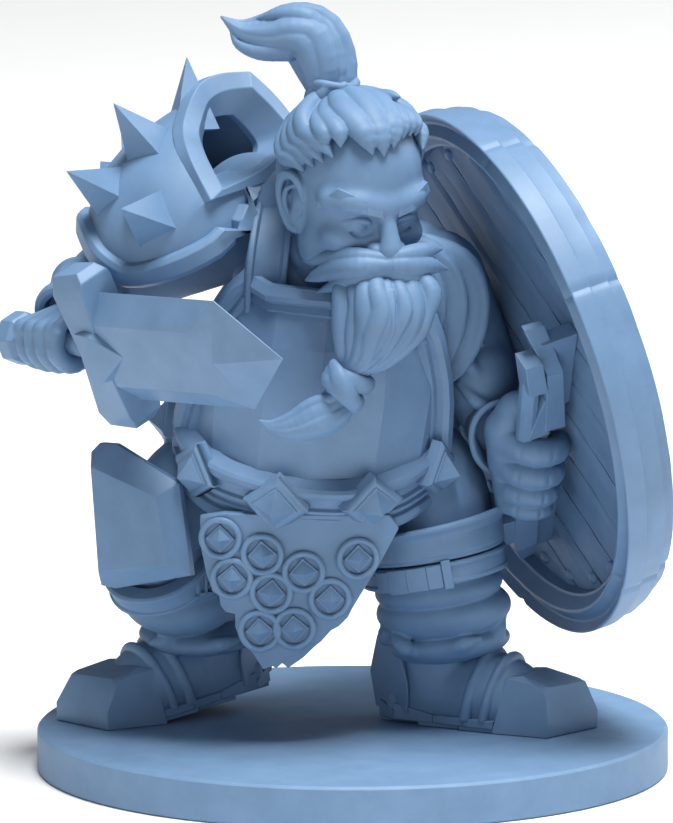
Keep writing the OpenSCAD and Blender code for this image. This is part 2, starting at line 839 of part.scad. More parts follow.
module right_wrist_peg(r = wrist_peg_r) {
    stand([-10.85, 1.65, 18.2], bracer_way) translate([0, 0, 0.4]) cylinder(h = 1.5, r = r, $fn = 32);
}
module right_hand() {
    color(skin) difference() {
        raw_right_hand();
        raw_grip();
        raw_guard();
        raw_pommel();
        right_wrist_peg(wrist_peg_r + glue_gap);
    }
}

module cap_ball(r) {
    translate(shoulder_at) sphere(r = r, $fn = 40);
}
module cap_side(depth) {
    stand(shoulder_at + depth * pauldron_way, pauldron_way) cylinder(h = 12, r = 9, $fn = 32);
}
module crest_mouth() {
    hull() for (p = crest_loop) translate(p) sphere(r = 0.2, $fn = 8);
    hull() {
        for (p = crest_loop) translate(p + [1.5, -0.3, 1.0]) sphere(r = 0.2, $fn = 8);
        for (p = crest_loop) translate(p) sphere(r = 0.2, $fn = 8);
    }
}
module raw_shell() {
    difference() {
        cap_ball(pauldron_r);
        cap_ball(pauldron_r - pauldron_t);
        mirror_cap() cap_side(-0.2);
        crest_mouth();
    }
}
// What lies on the open side of the guard.
module mirror_cap() {
    stand(shoulder_at - 0.2 * pauldron_way, -pauldron_way) cylinder(h = 12, r = 9, $fn = 32);
}
module raw_cap_rim() {
    difference() {
        stand(shoulder_at - 0.2 * pauldron_way, pauldron_way)
            rotate_extrude($fn = 60) polygon([
                [pauldron_r - 0.15, -0.45], [pauldron_r + 0.25, -0.5], [pauldron_r + 0.4, -0.1],
                [pauldron_r + 0.35, 0.6], [pauldron_r - 0.1, 0.85], [pauldron_r - 0.45, 0.2]
            ]);
        crest_mouth();
    }
}
// A closed band of square section along a loop, wide along its depth and thick outwards.
module hoop(path, way, wide, thick) {
    n = len(path);
    mid = [for (a = [0:2]) [for (p = path) p[a]] * [for (p = path) 1 / n]];
    rings = [for (p = path) let (out = unit(p - mid - ((p - mid) * way) * way))
        [p - wide / 2 * way, p + thick * out - wide / 2 * way,
            p + thick * out + 0.35 * wide * way, p + 0.4 * thick * out + wide / 2 * way,
            p + wide / 2 * way]];
    k = 5;
    polyhedron([for (r = rings) for (p = r) p],
        [for (i = [0:n - 1], j = [0:k - 1], h = [0, 1])
            let (a = i * k + j, b = ((i + 1) % n) * k + j,
                c = ((i + 1) % n) * k + (j + 1) % k, d = i * k + (j + 1) % k)
            h == 0 ? [a, c, b] : [a, d, c]]);
}
crest_way = unit([0.72, -0.62, 0.30]);
module raw_crest() { hoop(crest_loop, crest_way, 1.3, 0.55); }
module raw_spikes() {
    for (w = spike_ways) stand(shoulder_at + (pauldron_r - 0.12) * unit(w), w, [0.3, 0, 1])
        cylinder(h = 2.75, r1 = 1.1, r2 = 0.02, $fn = 4);
}
module pauldron_shell() {
    color(steel) difference() {
        raw_shell();
        raw_cap_rim();
        raw_crest();
        raw_spikes();
    }
}
module pauldron_rim() { color(steel) difference() { raw_cap_rim(); raw_crest(); raw_spikes(); } }
module pauldron_crest() { color(steel) difference() { raw_crest(); raw_head(); } }
module pauldron_spikes() { color(steel) difference() { raw_spikes(); raw_crest(); } }

// ---------- sword ----------

blade_body = blade_len - 3.0;
module raw_blade() {
    in_sword() {
        hull() {
            linear_extrude(blade_body) polygon([[-blade_w / 2, 0], [-blade_w * 0.27, 0.5],
                [blade_w * 0.27, 0.5], [blade_w / 2, 0], [blade_w * 0.27, -0.5], [-blade_w * 0.27, -0.5]]);
            translate([0, 0, blade_body]) linear_extrude(0.01) polygon([[-blade_w / 2, 0], [0, 0.5],
                [blade_w / 2, 0], [0, -0.5]]);
            translate([0, 0, blade_len]) sphere(r = 0.05, $fn = 8);
        }
    }
}
module raw_guard() {
    in_sword() {
        for (s = [-1, 1]) hull() {
            translate([0.3 * s, 0, -0.2]) cube([1.4, 1.7, 1.1], center = true);
            translate([guard_len / 2 * s - 0.45 * s, 0, -0.45]) cube([0.9, 1.1, 0.8], center = true);
        }
        for (s = [-1, 1]) hull() {
            translate([0, 0.75 * s, 0]) cube([2.4, 0.3, 0.5], center = true);
            translate([0, 0.75 * s, 1.5]) cube([0.5, 0.3, 0.1], center = true);
        }
    }
}
module raw_grip() {
    in_sword() translate([0, 0, -5.2]) cylinder(h = 5.2, r = grip_r, $fn = 32);
}
module raw_pommel() {
    in_sword() translate([0, 0, -6.3]) hull() {
        cylinder(h = 0.2, r = 0.55, $fn = 6);
        translate([0, 0, 0.75]) cylinder(h = 0.5, r = 1.05, $fn = 6);
        translate([0, 0, 1.6]) cylinder(h = 0.1, r = 0.6, $fn = 6);
    }
}
module sword_blade() { color(steel) difference() { raw_blade(); raw_guard(); } }
module sword_guard() { color(steel) difference() { raw_guard(); raw_grip(); } }
module sword_grip() { color(leather) difference() { raw_grip(); raw_pommel(); raw_blade(); } }
module sword_pommel() { color(steel) raw_pommel(); }

// ---------- left arm ----------

module raw_left_arm() {
    arm_length([3.2, 0.0, 19.5], 2.1, [4.8, 1.5, 16.0], 1.45);
    arm_length([4.8, 1.5, 16.0], 1.45, [5.5, 0.0, 13.9], 1.05);
}
cuff_way = unit([0.42, -0.88, -0.18]);
module raw_cuff() {
    stand([5.75, -0.55, 13.7], cuff_way, [1, 0, 0]) {
        cylinder(h = 1.5, r1 = 1.25, r2 = 1.1, center = true, $fn = 40);
        translate([0, 0, 0.6]) cylinder(h = 0.4, r = 1.3, center = true, $fn = 40);
    }
}
module raw_left_hand() {
    hull() {
        translate(left_fist + [0.35, -0.45, 1.3]) sphere(r = 0.8, $fn = 20);
        translate(left_fist + [0.15, 0.2, -1.6]) sphere(r = 0.75, $fn = 20);
        translate(left_fist + [-0.35, -0.35, 1.2]) sphere(r = 0.8, $fn = 20);
        translate(left_fist + [-0.4, 0.3, -1.4]) sphere(r = 0.75, $fn = 20);
        translate(left_fist + [-0.8, 0.8, 0.3]) sphere(r = 0.8, $fn = 20);
    }
}
module left_arm() {
    color(cloth) difference() {
        raw_left_arm();
        raw_torso();
        raw_mantle();
        raw_cuff();
        raw_shield_zone();
    }
}
module left_cuff() {
    color(leather) difference() {
        raw_cuff();
        raw_left_hand();
        raw_shield_zone();
        raw_bar();
    }
}
module left_hand() {
    color(skin) difference() {
        raw_left_hand();
        raw_bar();
        raw_shield_zone();
    }
}
module raw_mantle() {
    for (k = [0:2]) limb([
        [[1.9 + 0.6 * k, -2.6 + 0.1 * k, 21.9 - 0.2 * k], 0.5, 0.5],
        [[2.9 + 0.75 * k, -2.9 + 0.1 * k, 20.9 - 0.1 * k], 0.75, 0.7],
        [[3.4 + 0.85 * k, -2.7 + 0.2 * k, 19.2 - 0.1 * k], 0.8, 0.8],
        [[3.2 + 0.8 * k, -2.2 + 0.25 * k, 17.4], 0.65, 0.7],
        [[2.9 + 0.75 * k, -1.7 + 0.3 * k, 16.0], 0.35, 0.4]
    ]);
    limb([[[1.8, 1.2, 21.6], 1.2, 0.5], [[3.2, 0.6, 21.4], 1.6, 0.8], [[4.6, 0.2, 20.4], 1.5, 0.6]], side = [0, 1, 0]);
}
module left_mantle() {
    color(cloth) difference() {
        raw_mantle();
        raw_torso();
        raw_head();
        raw_collar();
        raw_shield_zone();
    }
}

// ---------- shield ----------

// The space the shield takes up, boards and rim.
module raw_shield_zone() {
    in_shield() {
        translate([0, 0, board_back]) cylinder(h = 3, r = shield_r, $fn = 48);
        difference() {
            cylinder(h = 3, r = shield_r, $fn = 72);
            translate([0, 0, -1]) cylinder(h = 6, r = shield_r - 1.6, $fn = 72);
        }
    }
}
rim_in = shield_r - 1.5;
module shield_rim() {
    color(steel) in_shield() rotate_extrude($fn = 80) polygon([
        [rim_in, 0.6], [shield_r - 0.95, 0], [shield_r - 0.42, 0.32], [shield_r, 0], [shield_r, 0.8],
        [shield_r - 0.22, 0.85], [shield_r - 0.22, 1.75], [shield_r - 0.5, 1.8],
        [shield_r - 0.55, shield_rim_depth], [rim_in, shield_rim_depth]
    ]);
}
module shield_boards() {
    pitch = 2 * rim_in / shield_boards;
    color("steelblue") in_shield() difference() {
        translate([0, 0, board_back]) cylinder(h = 0.7, r = rim_in, $fn = 80);
        for (k = [1:shield_boards - 1]) translate([-15, -rim_in + k * pitch - 0.05, board_back - 0.02])
            cube([30, 0.1, 0.17]);
    }
}
module shield_boss() {
    color(steel) in_shield() translate([0, 0, board_back + 0.7]) rotate_extrude($fn = 72)
        polygon([[0, 0], [rim_in, 0], [rim_in, 0.5], [7.5, 0.75], [3.2, 0.95], [3.0, 1.1], [0, 1.2]]);
}
module shield_rivets() {
    color(steel) in_shield() for (k = [0:shield_rivet_count - 1])
        rotate([0, 0, (k + 0.5) * 360 / shield_rivet_count]) translate([rim_in - 0.45, 0, board_back])
            rotate([180, 0, 0]) rotate_extrude($fn = 16)
                polygon([[0, 0], [0.24, 0], [0.2, 0.12], [0.1, 0.18], [0, 0.2]]);
}
// The fist's place along the handle is its zero.
module in_handle() {
    stand(left_fist, shield_way, handle_way) children();
}
fist_drop = (shield_at - left_fist) * shield_way + board_back;   // from the fist to the boards
module raw_bar() {
    in_handle() translate([-4.6, 0, 0]) rotate([0, 90, 0]) cylinder(h = 10.4, r = bar_r, $fn = 32);
}
module shield_handle() {
    color(steel) {
        raw_bar();
        in_handle() for (x = [-3.9, 5.1]) {
            translate([x, 0, (fist_drop - 0.7) / 2]) cube([1.9, 1.5, fist_drop + 0.7], center = true);
            translate([x, 0, fist_drop - 0.2]) cube([3.0, 2.1, 0.4], center = true);
        }
    }
}

// ---------- assembly ----------

base_disc();
left_boot();
left_sole();
left_toe_cap();
left_heel_guard();
right_boot();
right_sole();
right_toe_cap();
right_heel_guard();
left_trouser_leg();
right_trouser_leg();
trouser_seat();
left_knee_band();
left_knee_belt();
right_knee_strap();
right_knee_guard();
apron();
apron_rings();
apron_gems();
belt();
belt_stud_plates();
belt_gems();
torso();
breastplate();
breastplate_trim();
back_plate();
shoulder_strap();
collar();
head();
hair_cap();
topknot_band();
ponytail();
eyebrows();
moustache();
beard();
beard_tie();
beard_tail();
right_arm();
right_bracer();
right_hand();
pauldron_shell();
pauldron_rim();
pauldron_crest();
pauldron_spikes();
sword_blade();
sword_guard();
sword_grip();
sword_pommel();
left_arm();
left_cuff();
left_hand();
left_mantle();
shield_boards();
shield_rim();
shield_boss();
shield_rivets();
shield_handle();
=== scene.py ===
"""Looks of the bearded shield-bearer miniature: one cast figure under one even matt coat."""
import json
import math

import bmesh
import bpy
import numpy as np
import openvdb
from mathutils import Matrix, Vector


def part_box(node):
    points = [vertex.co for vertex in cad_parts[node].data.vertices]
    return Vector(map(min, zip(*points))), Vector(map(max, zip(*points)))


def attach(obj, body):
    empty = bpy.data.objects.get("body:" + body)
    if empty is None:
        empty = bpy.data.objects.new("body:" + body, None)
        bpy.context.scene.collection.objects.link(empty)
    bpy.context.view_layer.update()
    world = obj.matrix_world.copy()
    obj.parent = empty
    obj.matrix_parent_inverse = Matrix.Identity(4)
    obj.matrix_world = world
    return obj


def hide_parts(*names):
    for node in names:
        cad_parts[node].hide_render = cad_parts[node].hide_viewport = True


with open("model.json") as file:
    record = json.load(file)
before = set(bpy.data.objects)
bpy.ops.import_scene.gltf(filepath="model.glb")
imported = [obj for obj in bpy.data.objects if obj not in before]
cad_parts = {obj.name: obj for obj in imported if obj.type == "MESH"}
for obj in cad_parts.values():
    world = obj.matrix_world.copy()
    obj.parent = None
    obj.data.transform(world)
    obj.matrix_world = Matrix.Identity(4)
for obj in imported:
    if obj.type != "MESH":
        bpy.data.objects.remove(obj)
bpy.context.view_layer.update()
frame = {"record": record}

MM = 0.001


# ---------- places, in millimetres, from the CAD nodes ----------

def vec(*xyz):
    return np.array(xyz, float)


def unit(v):
    v = np.asarray(v, float)
    return v / np.linalg.norm(v)


def node_box(*names):
    """Lowest and highest corner of one or more CAD nodes, in mm."""
    boxes = [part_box(n) for n in names]
    low = np.min([np.array(b[0]) for b in boxes], 0) / MM
    high = np.max([np.array(b[1]) for b in boxes], 0) / MM
    return low, high


def middle(name):
    low, high = node_box(name)
    return (low + high) / 2


class Pose:
    """A piece's own axes: a, b and c, standing at o. Points go in and out in mm."""

    def __init__(self, o, c, a=(1, 0, 0)):
        self.o = np.asarray(o, float)
        self.c = unit(c)
        self.b = unit(np.cross(self.c, a))
        self.a = np.cross(self.b, self.c)

    def __call__(self, x, y, z):
        return self.o + x * self.a + y * self.b + z * self.c

    def way(self, x, y, z):
        return x * self.a + y * self.b + z * self.c

    def local(self, p):
        d = [p[k] - self.o[k] for k in range(3)]
        return [sum(d[k] * axis[k] for k in range(3)) for axis in (self.a, self.b, self.c)]


# ---------- clay: soft shapes worked as distances on a grid ----------

def soft_min(a, b, k):
    if k <= 0:
        return np.minimum(a, b)
    h = np.clip(0.5 + 0.5 * (b - a) / k, 0, 1)
    return b * (1 - h) + a * h - k * h * (1 - h)


def ball(c, r):
    c = np.asarray(c, float)
    return c - r, c + r, lambda p: np.sqrt(sum((p[k] - c[k]) ** 2 for k in range(3))) - r


def egg(pose, radii):
    """An egg with its three half widths along the pose's axes."""
    big = max(radii)

    def distance(p):
        q = pose.local(p)
        k0 = np.sqrt(sum((q[i] / radii[i]) ** 2 for i in range(3)))
        k1 = np.sqrt(sum((q[i] / radii[i] ** 2) ** 2 for i in range(3)))
        return k0 * (k0 - 1) / np.maximum(k1, 1e-6)
    return pose.o - big, pose.o + big, distance


def block(pose, half, rounding=0.05):
    big = np.linalg.norm(half)

    def distance(p):
        q = [np.abs(v) - (half[i] - rounding) for i, v in enumerate(pose.local(p))]
        outside = np.sqrt(sum(np.maximum(v, 0) ** 2 for v in q))
        return outside + np.minimum(np.maximum(np.maximum(q[0], q[1]), q[2]), 0) - rounding
    return pose.o - big, pose.o + big, distance


def smooth_path(points, steps=4):
    """A soft curve through points; each may carry its radius as a fourth value."""
    pts = np.asarray(points, float)
    if len(pts) < 3:
        return pts
    ends = np.vstack([2 * pts[0] - pts[1], pts, 2 * pts[-1] - pts[-2]])
    out = []
    for i in range(1, len(ends) - 2):
        p0, p1, p2, p3 = ends[i - 1:i + 3]
        for s in range(steps):
            t = s / steps
            out.append(0.5 * (2 * p1 + (p2 - p0) * t + (2 * p0 - 5 * p1 + 4 * p2 - p3) * t ** 2
                              + (3 * p1 - p0 - 3 * p2 + p3) * t ** 3))
    return np.array(out + [pts[-1]])


def lock(points, thin=None, steps=4):
    """A round tapering length of clay through points (x, y, z, radius).
    thin = (direction, factor) flattens it along a direction."""
    path = smooth_path(points, steps)
    path[:, 3] = np.maximum(path[:, 3], 0.01)
    big = path[:, 3].max()
    low, high = path[:, :3].min(0) - big, path[:, :3].max(0) + big

    def stretch(p):
        if thin is None:
            return p
        n, f = unit(thin[0]), thin[1] - 1
        s = sum(p[k] * n[k] for k in range(3)) * f
        return [p[k] + s * n[k] for k in range(3)]

    def distance(p):
        q = stretch(p)
        best = None
        for u, v in zip(path[:-1], path[1:]):
            a, b = np.array(stretch(u[:3])), np.array(stretch(v[:3]))
            d = b - a
            t = np.clip(sum((q[k] - a[k]) * d[k] for k in range(3)) / max(d @ d, 1e-9), 0, 1)
            r = u[3] + (v[3] - u[3]) * t
            e = np.sqrt(sum((q[k] - a[k] - t * d[k]) ** 2 for k in range(3))) - r
            best = e if best is None else np.minimum(best, e)
        return best
    return low, high, distance


def with_radius(points, radii):
    return [list(p) + [r] for p, r in zip(points, radii)]


class Clay:
    """A lump of clay between two corners, on a grid of step mm."""

    def __init__(self, low, high, step=0.06):
        self.low, self.step = np.asarray(low, float) - 3 * step, step
        size = np.asarray(high, float) + 3 * step - self.low
        self.count = np.ceil(size / step).astype(int) + 1
        self.field = np.full(self.count, 3.0, np.float32)

    def window(self, low, high, margin):
        a = np.clip(np.floor((low - margin - self.low) / self.step), 0, self.count).astype(int)
        b = np.clip(np.ceil((high + margin - self.low) / self.step) + 1, 0, self.count).astype(int)
        w = tuple(slice(a[k], max(b[k], a[k])) for k in range(3))
        p = [(self.low[k] + self.step * np.arange(w[k].start, w[k].stop)).astype(np.float32)
             .reshape([-1 if j == k else 1 for j in range(3)]) for k in range(3)]
        return w, p

    def add(self, shape, soft=0.08):
        low, high, distance = shape
        w, p = self.window(low, high, soft + 0.3)
        if self.field[w].size:
            self.field[w] = soft_min(self.field[w], distance(p), soft)
        return self

    def cut(self, shape, soft=0.04):
        low, high, distance = shape
        w, p = self.window(low, high, soft + 0.3)
        if self.field[w].size:
            self.field[w] = -soft_min(-self.field[w], distance(p), soft)
        return self

    def piece(self, name):
        # air all round, so that the skin always closes
        f = self.field
        for k in range(3):
            for end in (0, -1):
                w = [slice(None)] * 3
                w[k] = end
                f[tuple(w)] = np.maximum(f[tuple(w)], self.step)
        grid = openvdb.FloatGrid()
        grid.copyFromArray(np.ascontiguousarray(np.clip(f, -3, 3), np.float32))
        points, quads = grid.convertToQuads(isovalue=0.0)
        points = (self.low + np.asarray(points, float) * self.step) * MM
        quads = np.asarray(quads, np.int32)
        a, b, c, d = (points[quads[:, k]] for k in range(4))
        volume = (np.einsum("ij,ij->i", a, np.cross(b, c)) + np.einsum("ij,ij->i", a, np.cross(c, d))).sum()
        if volume < 0:
            quads = quads[:, ::-1]
        return mesh_piece(name, points, quads)


# ---------- pieces ----------

def mesh_piece(name, points, faces, smooth=True):
    """A new piece from points in metres and faces, at the origin."""
    mesh = bpy.data.meshes.new(name)
    if isinstance(faces, np.ndarray):
        mesh.vertices.add(len(points))
        mesh.vertices.foreach_set("co", np.asarray(points, np.float32).ravel())
        mesh.loops.add(faces.size)
        mesh.loops.foreach_set("vertex_index", faces.astype(np.int32).ravel())
        mesh.polygons.add(len(faces))
        mesh.polygons.foreach_set("loop_start", np.arange(0, faces.size, faces.shape[1], dtype=np.int32))
        mesh.update(calc_edges=True)
    else:
        mesh.from_pydata([tuple(p) for p in points], [], faces)
    mesh.validate()
    mesh.polygons.foreach_set("use_smooth", [smooth] * len(mesh.polygons))
    mesh.update()
    o = bpy.data.objects.new(name, mesh)
    bpy.context.scene.collection.objects.link(o)
    return o


def bake(o):
    """Makes the modifiers part of the mesh, so that the piece is plain geometry."""
    bpy.context.view_layer.update()
    final = bpy.data.meshes.new_from_object(o.evaluated_get(bpy.context.evaluated_depsgraph_get()))
    o.modifiers.clear()
    o.data = final
    return o


def bevelled(o, width, segments=2, angle=28, profile=0.6):
    m = o.modifiers.new("bevel", "BEVEL")
    m.width, m.segments, m.profile = width * MM, segments, profile
    m.limit_method, m.angle_limit = "ANGLE", math.radians(angle)
    m.harden_normals = True
    o.data.polygons.foreach_set("use_smooth", [True] * len(o.data.polygons))
    return bake(o)


def close_up(bm):
    bmesh.ops.remove_doubles(bm, verts=bm.verts, dist=1e-7)
    bmesh.ops.recalc_face_normals(bm, faces=bm.faces)


def faceted(name, solids, bevel=0.05, segments=2):
    """Flat-faced casting: each solid is the tight skin round its points, in mm."""
    bm = bmesh.new()
    for points in solids:
        verts = [bm.verts.new(Vector(p) * MM) for p in points]
        hull = bmesh.ops.convex_hull(bm, input=verts)
        spare = [g for g in hull["geom_interior"] if isinstance(g, bmesh.types.BMVert)]
        bmesh.ops.delete(bm, geom=spare, context="VERTS")
    bmesh.ops.dissolve_limit(bm, angle_limit=math.radians(1.5), verts=bm.verts, edges=bm.edges)
    bmesh.ops.recalc_face_normals(bm, faces=bm.faces)
    mesh = bpy.data.meshes.new(name)
    bm.to_mesh(mesh)
    bm.free()
    o = bpy.data.objects.new(name, mesh)
    bpy.context.scene.collection.objects.link(o)
    return bevelled(o, bevel, segments)


def swept(name, rings, closed=False, bevel=None, smooth=True, angle=28):
    """A skin over rings of points in mm: each ring is a closed section; closed joins last to first."""
    n, k = len(rings), len(rings[0])
    points = np.array([p for r in rings for p in r], float) * MM
    faces = []
    for i in range(n if closed else n - 1):
        for j in range(k):
            a, b = i * k + j, i * k + (j + 1) % k
            c, d = ((i + 1) % n) * k + (j + 1) % k, ((i + 1) % n) * k + j
            faces.append((a, b, c, d))
    if not closed:
        faces.append(tuple(range(k))[::-1])
        faces.append(tuple((n - 1) * k + j for j in range(k)))
    o = mesh_piece(name, points, faces, smooth)
    bm = bmesh.new()
    bm.from_mesh(o.data)
    close_up(bm)
    bm.to_mesh(o.data)
    bm.free()
    if bevel:
        bevelled(o, bevel, angle=angle)
    else:
        o.data.set_sharp_from_angle(angle=math.radians(angle))
    return o


def lathed(name, pose, profile, count=160, bevel=0.04, turn=None):
    """A ring or disc turned round the pose's c axis; profile is a closed list of (radius, height) in mm.
    turn(angle, r, z) may shift a point of the profile."""
    rings = []
    for i in range(count):
        a = 2 * math.pi * i / count
        section = [turn(a, r, z) if turn else (r, z) for r, z in profile]
        rings.append([pose(r * math.cos(a), r * math.sin(a), z) for r, z in section])
    return swept(name, rings, closed=True, bevel=bevel)


def plate(name, pose, outline, bottom, top, bevel=0.06, bend=None):
    """A flat piece cut to outline in the pose's a, b plane, from bottom to top along c."""
    bm = bmesh.new()
    low = [bm.verts.new((x, y, bottom)) for x, y in outline]
    high = [bm.verts.new((x, y, top)) for x, y in outline]
    bm.faces.new(low[::-1])
    bm.faces.new(high)
    for i in range(len(low)):
        j = (i + 1) % len(low)
        bm.faces.new((low[i], low[j], high[j], high[i]))
    if bend:
        bmesh.ops.triangulate(bm, faces=bm.faces)
        for _ in range(3):
            bmesh.ops.subdivide_edges(bm, edges=[e for e in bm.edges if e.calc_length() > 0.5], cuts=1)
            bmesh.ops.triangulate(bm, faces=bm.faces)
    for v in bm.verts:
        x, y, z = bend(*v.co) if bend else v.co
        v.co = Vector(pose(x, y, z)) * MM
    bmesh.ops.recalc_face_normals(bm, faces=bm.faces)
    mesh = bpy.data.meshes.new(name)
    bm.to_mesh(mesh)
    bm.free()
    o = bpy.data.objects.new(name, mesh)
    bpy.context.scene.collection.objects.link(o)
    return bevelled(o, bevel)


def joined(name, objects):
    """Several finished meshes as one piece."""
    bm = bmesh.new()
    for o in objects:
        bm.from_mesh(o.data)
        bpy.data.objects.remove(o)
    mesh = bpy.data.meshes.new(name)
    bm.to_mesh(mesh)
    bm.free()
    mesh.polygons.foreach_set("use_smooth", [True] * len(mesh.polygons))
    o = bpy.data.objects.new(name, mesh)
    bpy.context.scene.collection.objects.link(o)
    return weighted(o)


def weighted(o):
    """Shades by the larger faces, so that flats stay flat beside their bevels."""
    m = o.modifiers.new("shade", "WEIGHTED_NORMAL")
    m.weight, m.keep_sharp = 100, True
    return bake(o)


def finish_piece(o, material, slot, *nodes):
    o.data.materials.clear()
    o.data.materials.append(material)
    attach(o, "root")
    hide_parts(*nodes)
    return o



# ---------- head ----------

FACE_WAY = unit((0.45, -0.85, -0.31))
HEAD_UP = unit(vec(0, 0, 1) - FACE_WAY[2] * FACE_WAY)
SIDE_WAY = np.cross(FACE_WAY, HEAD_UP)
HEAD = Pose(middle("head") + (0.07, 0.16, 0.175), HEAD_UP, SIDE_WAY)


def on_head(*rows):
    """Rows of (side, forward, up, radius) on the head, as places in mm with their radius."""
    return [list(HEAD(*r[:3])) + [r[3]] for r in rows]


def head_egg(x, y, z, radii):
    return egg(Pose(HEAD(x, y, z), HEAD.c, HEAD.a), radii)


def sculpt_head():
    low, high = node_box("head")
    clay = Clay(low - 0.5, high + 0.5, 0.052)
    clay.add(head_egg(0, -0.35, 0.85, (2.55, 2.95, 2.75)), 0)
    clay.add(head_egg(0, 0.6, -0.9, (2.15, 2.25, 2.4)), 0.7)
    clay.add(head_egg(0, 0.85, -2.3, (1.65, 1.6, 1.15)), 0.6)
    clay.add(lock(on_head((0, -0.6, -1.4, 1.7), (0, -1.2, -3.2, 1.6), (0, -1.9, -4.2, 1.6))), 0.5)
    for s in (1, -1):
        clay.add(head_egg(1.35 * s, 1.75, -0.95, (0.8, 0.7, 0.55)), 0.45)
        clay.add(head_egg(1.75 * s, 0.6, -1.9, (0.6, 0.9, 0.8)), 0.5)
    # forehead and the bony ridge over the eyes
    clay.add(lock(on_head((2.0, 1.45, 0.6, 0.4), (1.2, 2.25, 0.75, 0.45), (0, 2.5, 0.6, 0.45),
                          (-1.2, 2.25, 0.75, 0.45), (-2.0, 1.45, 0.6, 0.4))), 0.4)
    # eyes: hollow, ball, lids
    for s in (1, -1):
        clay.cut(head_egg(1.0 * s, 2.85, -0.12, (0.68, 0.6, 0.46)), 0.28)
        clay.add(ball(HEAD(1.0 * s, 1.98, -0.14), 0.52), 0.03)
        clay.add(lock(on_head((0.5 * s, 2.42, -0.2, 0.08), (0.75 * s, 2.5, 0.0, 0.12), (1.1 * s, 2.44, 0.06, 0.13),
                              (1.45 * s, 2.18, -0.06, 0.1), (1.62 * s, 1.98, -0.24, 0.06))), 0.05)
        clay.add(lock(on_head((0.5 * s, 2.4, -0.22, 0.06), (0.8 * s, 2.46, -0.44, 0.09), (1.15 * s, 2.36, -0.46, 0.1),
                              (1.6 * s, 1.98, -0.26, 0.06))), 0.05)
        # the fold under the eye and the crease from the nose's wing to the mouth's corner
        clay.cut(lock(on_head((0.55 * s, 2.62, -0.42, 0.04), (1.0 * s, 2.52, -0.56, 0.06),
                              (1.5 * s, 2.1, -0.44, 0.03))), 0.12)
        clay.cut(lock(on_head((0.62 * s, 2.95, -1.0, 0.05), (0.95 * s, 2.8, -1.35, 0.08),
                              (1.4 * s, 2.35, -1.9, 0.06))), 0.18)
    # nose: bridge, tip, wings
    clay.add(lock(on_head((0, 2.5, 0.42, 0.3), (0, 2.84, 0.0, 0.33), (0, 3.14, -0.45, 0.38),
                          (0, 3.34, -0.8, 0.46))), 0.2)
    clay.add(head_egg(0, 3.36, -0.95, (0.5, 0.46, 0.42)), 0.12)
    for s in (1, -1):
        clay.add(head_egg(0.5 * s, 2.98, -1.02, (0.33, 0.42, 0.32)), 0.1)
        clay.cut(ball(HEAD(0.24 * s, 3.3, -1.36), 0.13), 0.06)
    # mouth under the moustache
    clay.add(lock(on_head((1.0, 2.25, -2.2, 0.14), (0.4, 2.75, -2.1, 0.2), (0, 2.8, -2.14, 0.18),
                          (-0.4, 2.75, -2.1, 0.2), (-1.0, 2.25, -2.2, 0.14))), 0.12)
    clay.add(lock(on_head((0.9, 2.25, -2.45, 0.14), (0, 2.75, -2.5, 0.25), (-0.9, 2.25, -2.45, 0.14))), 0.12)
    clay.cut(lock(on_head((1.0, 2.45, -2.3, 0.03), (0, 3.0, -2.28, 0.04), (-1.0, 2.45, -2.3, 0.03))), 0.05)
    for s in (1, -1):
        sculpt_ear(clay, s)
    return clay.piece("head_cast")


def sculpt_ear(clay, s):
    """Shell, rim, inner ridge, lobe and the small flap in front of the ear's hollow."""
    clay.add(lock(on_head((2.2 * s, -0.1, 0.2, 0.45), (2.35 * s, -0.3, -0.5, 0.55),
                          (2.25 * s, -0.15, -1.2, 0.35)), thin=(HEAD.a, 1.3)), 0.2)
    clay.cut(lock(on_head((2.95 * s, -0.35, 0.2, 0.25), (2.95 * s, -0.4, -0.5, 0.38))), 0.15)
    clay.add(lock(on_head((2.45 * s, 0.22, 0.05, 0.12), (2.6 * s, 0.12, 0.55, 0.16),
                          (2.75 * s, -0.4, 0.8, 0.19), (2.85 * s, -0.92, 0.45, 0.19),
                          (2.85 * s, -0.95, -0.2, 0.17), (2.72 * s, -0.7, -0.85, 0.17),
                          (2.55 * s, -0.3, -1.3, 0.2), (2.4 * s, -0.02, -1.38, 0.2))), 0.06)
    clay.add(lock(on_head((2.62 * s, -0.25, 0.42, 0.08), (2.78 * s, -0.6, 0.05, 0.11),
                          (2.74 * s, -0.52, -0.6, 0.12), (2.55 * s, -0.2, -0.98, 0.1))), 0.07)
    clay.add(head_egg(2.48 * s, 0.15, -0.55, (0.14, 0.16, 0.26)), 0.08)


def sculpt_brows():
    """Two heavy brows cut in flat planes, arched and level, each with a short upswept outer end."""
    solids = []
    for s in (1, -1):
        rows = [((0.34, 2.7, 0.22), (0.3, 3.02, 0.34), (0.34, 2.96, 0.66), (0.36, 2.5, 0.74)),
                ((1.05, 2.45, 0.36), (1.02, 2.9, 0.52), (1.05, 2.72, 1.04), (1.05, 2.2, 1.05)),
                ((1.8, 1.9, 0.3), (1.84, 2.3, 0.52), (1.98, 2.0, 1.3), (1.85, 1.6, 1.2)),
                ((2.4, 1.25, 0.2), (2.46, 1.4, 0.26), (2.42, 1.35, 0.42), (2.35, 1.1, 0.35))]
        points = [[HEAD(s * x, y, z) for x, y, z in row] for row in rows]
        for near, far in zip(points[:-1], points[1:]):
            solids.append(near + far)
    return faceted("eyebrows_cast", solids, bevel=0.05, segments=3)


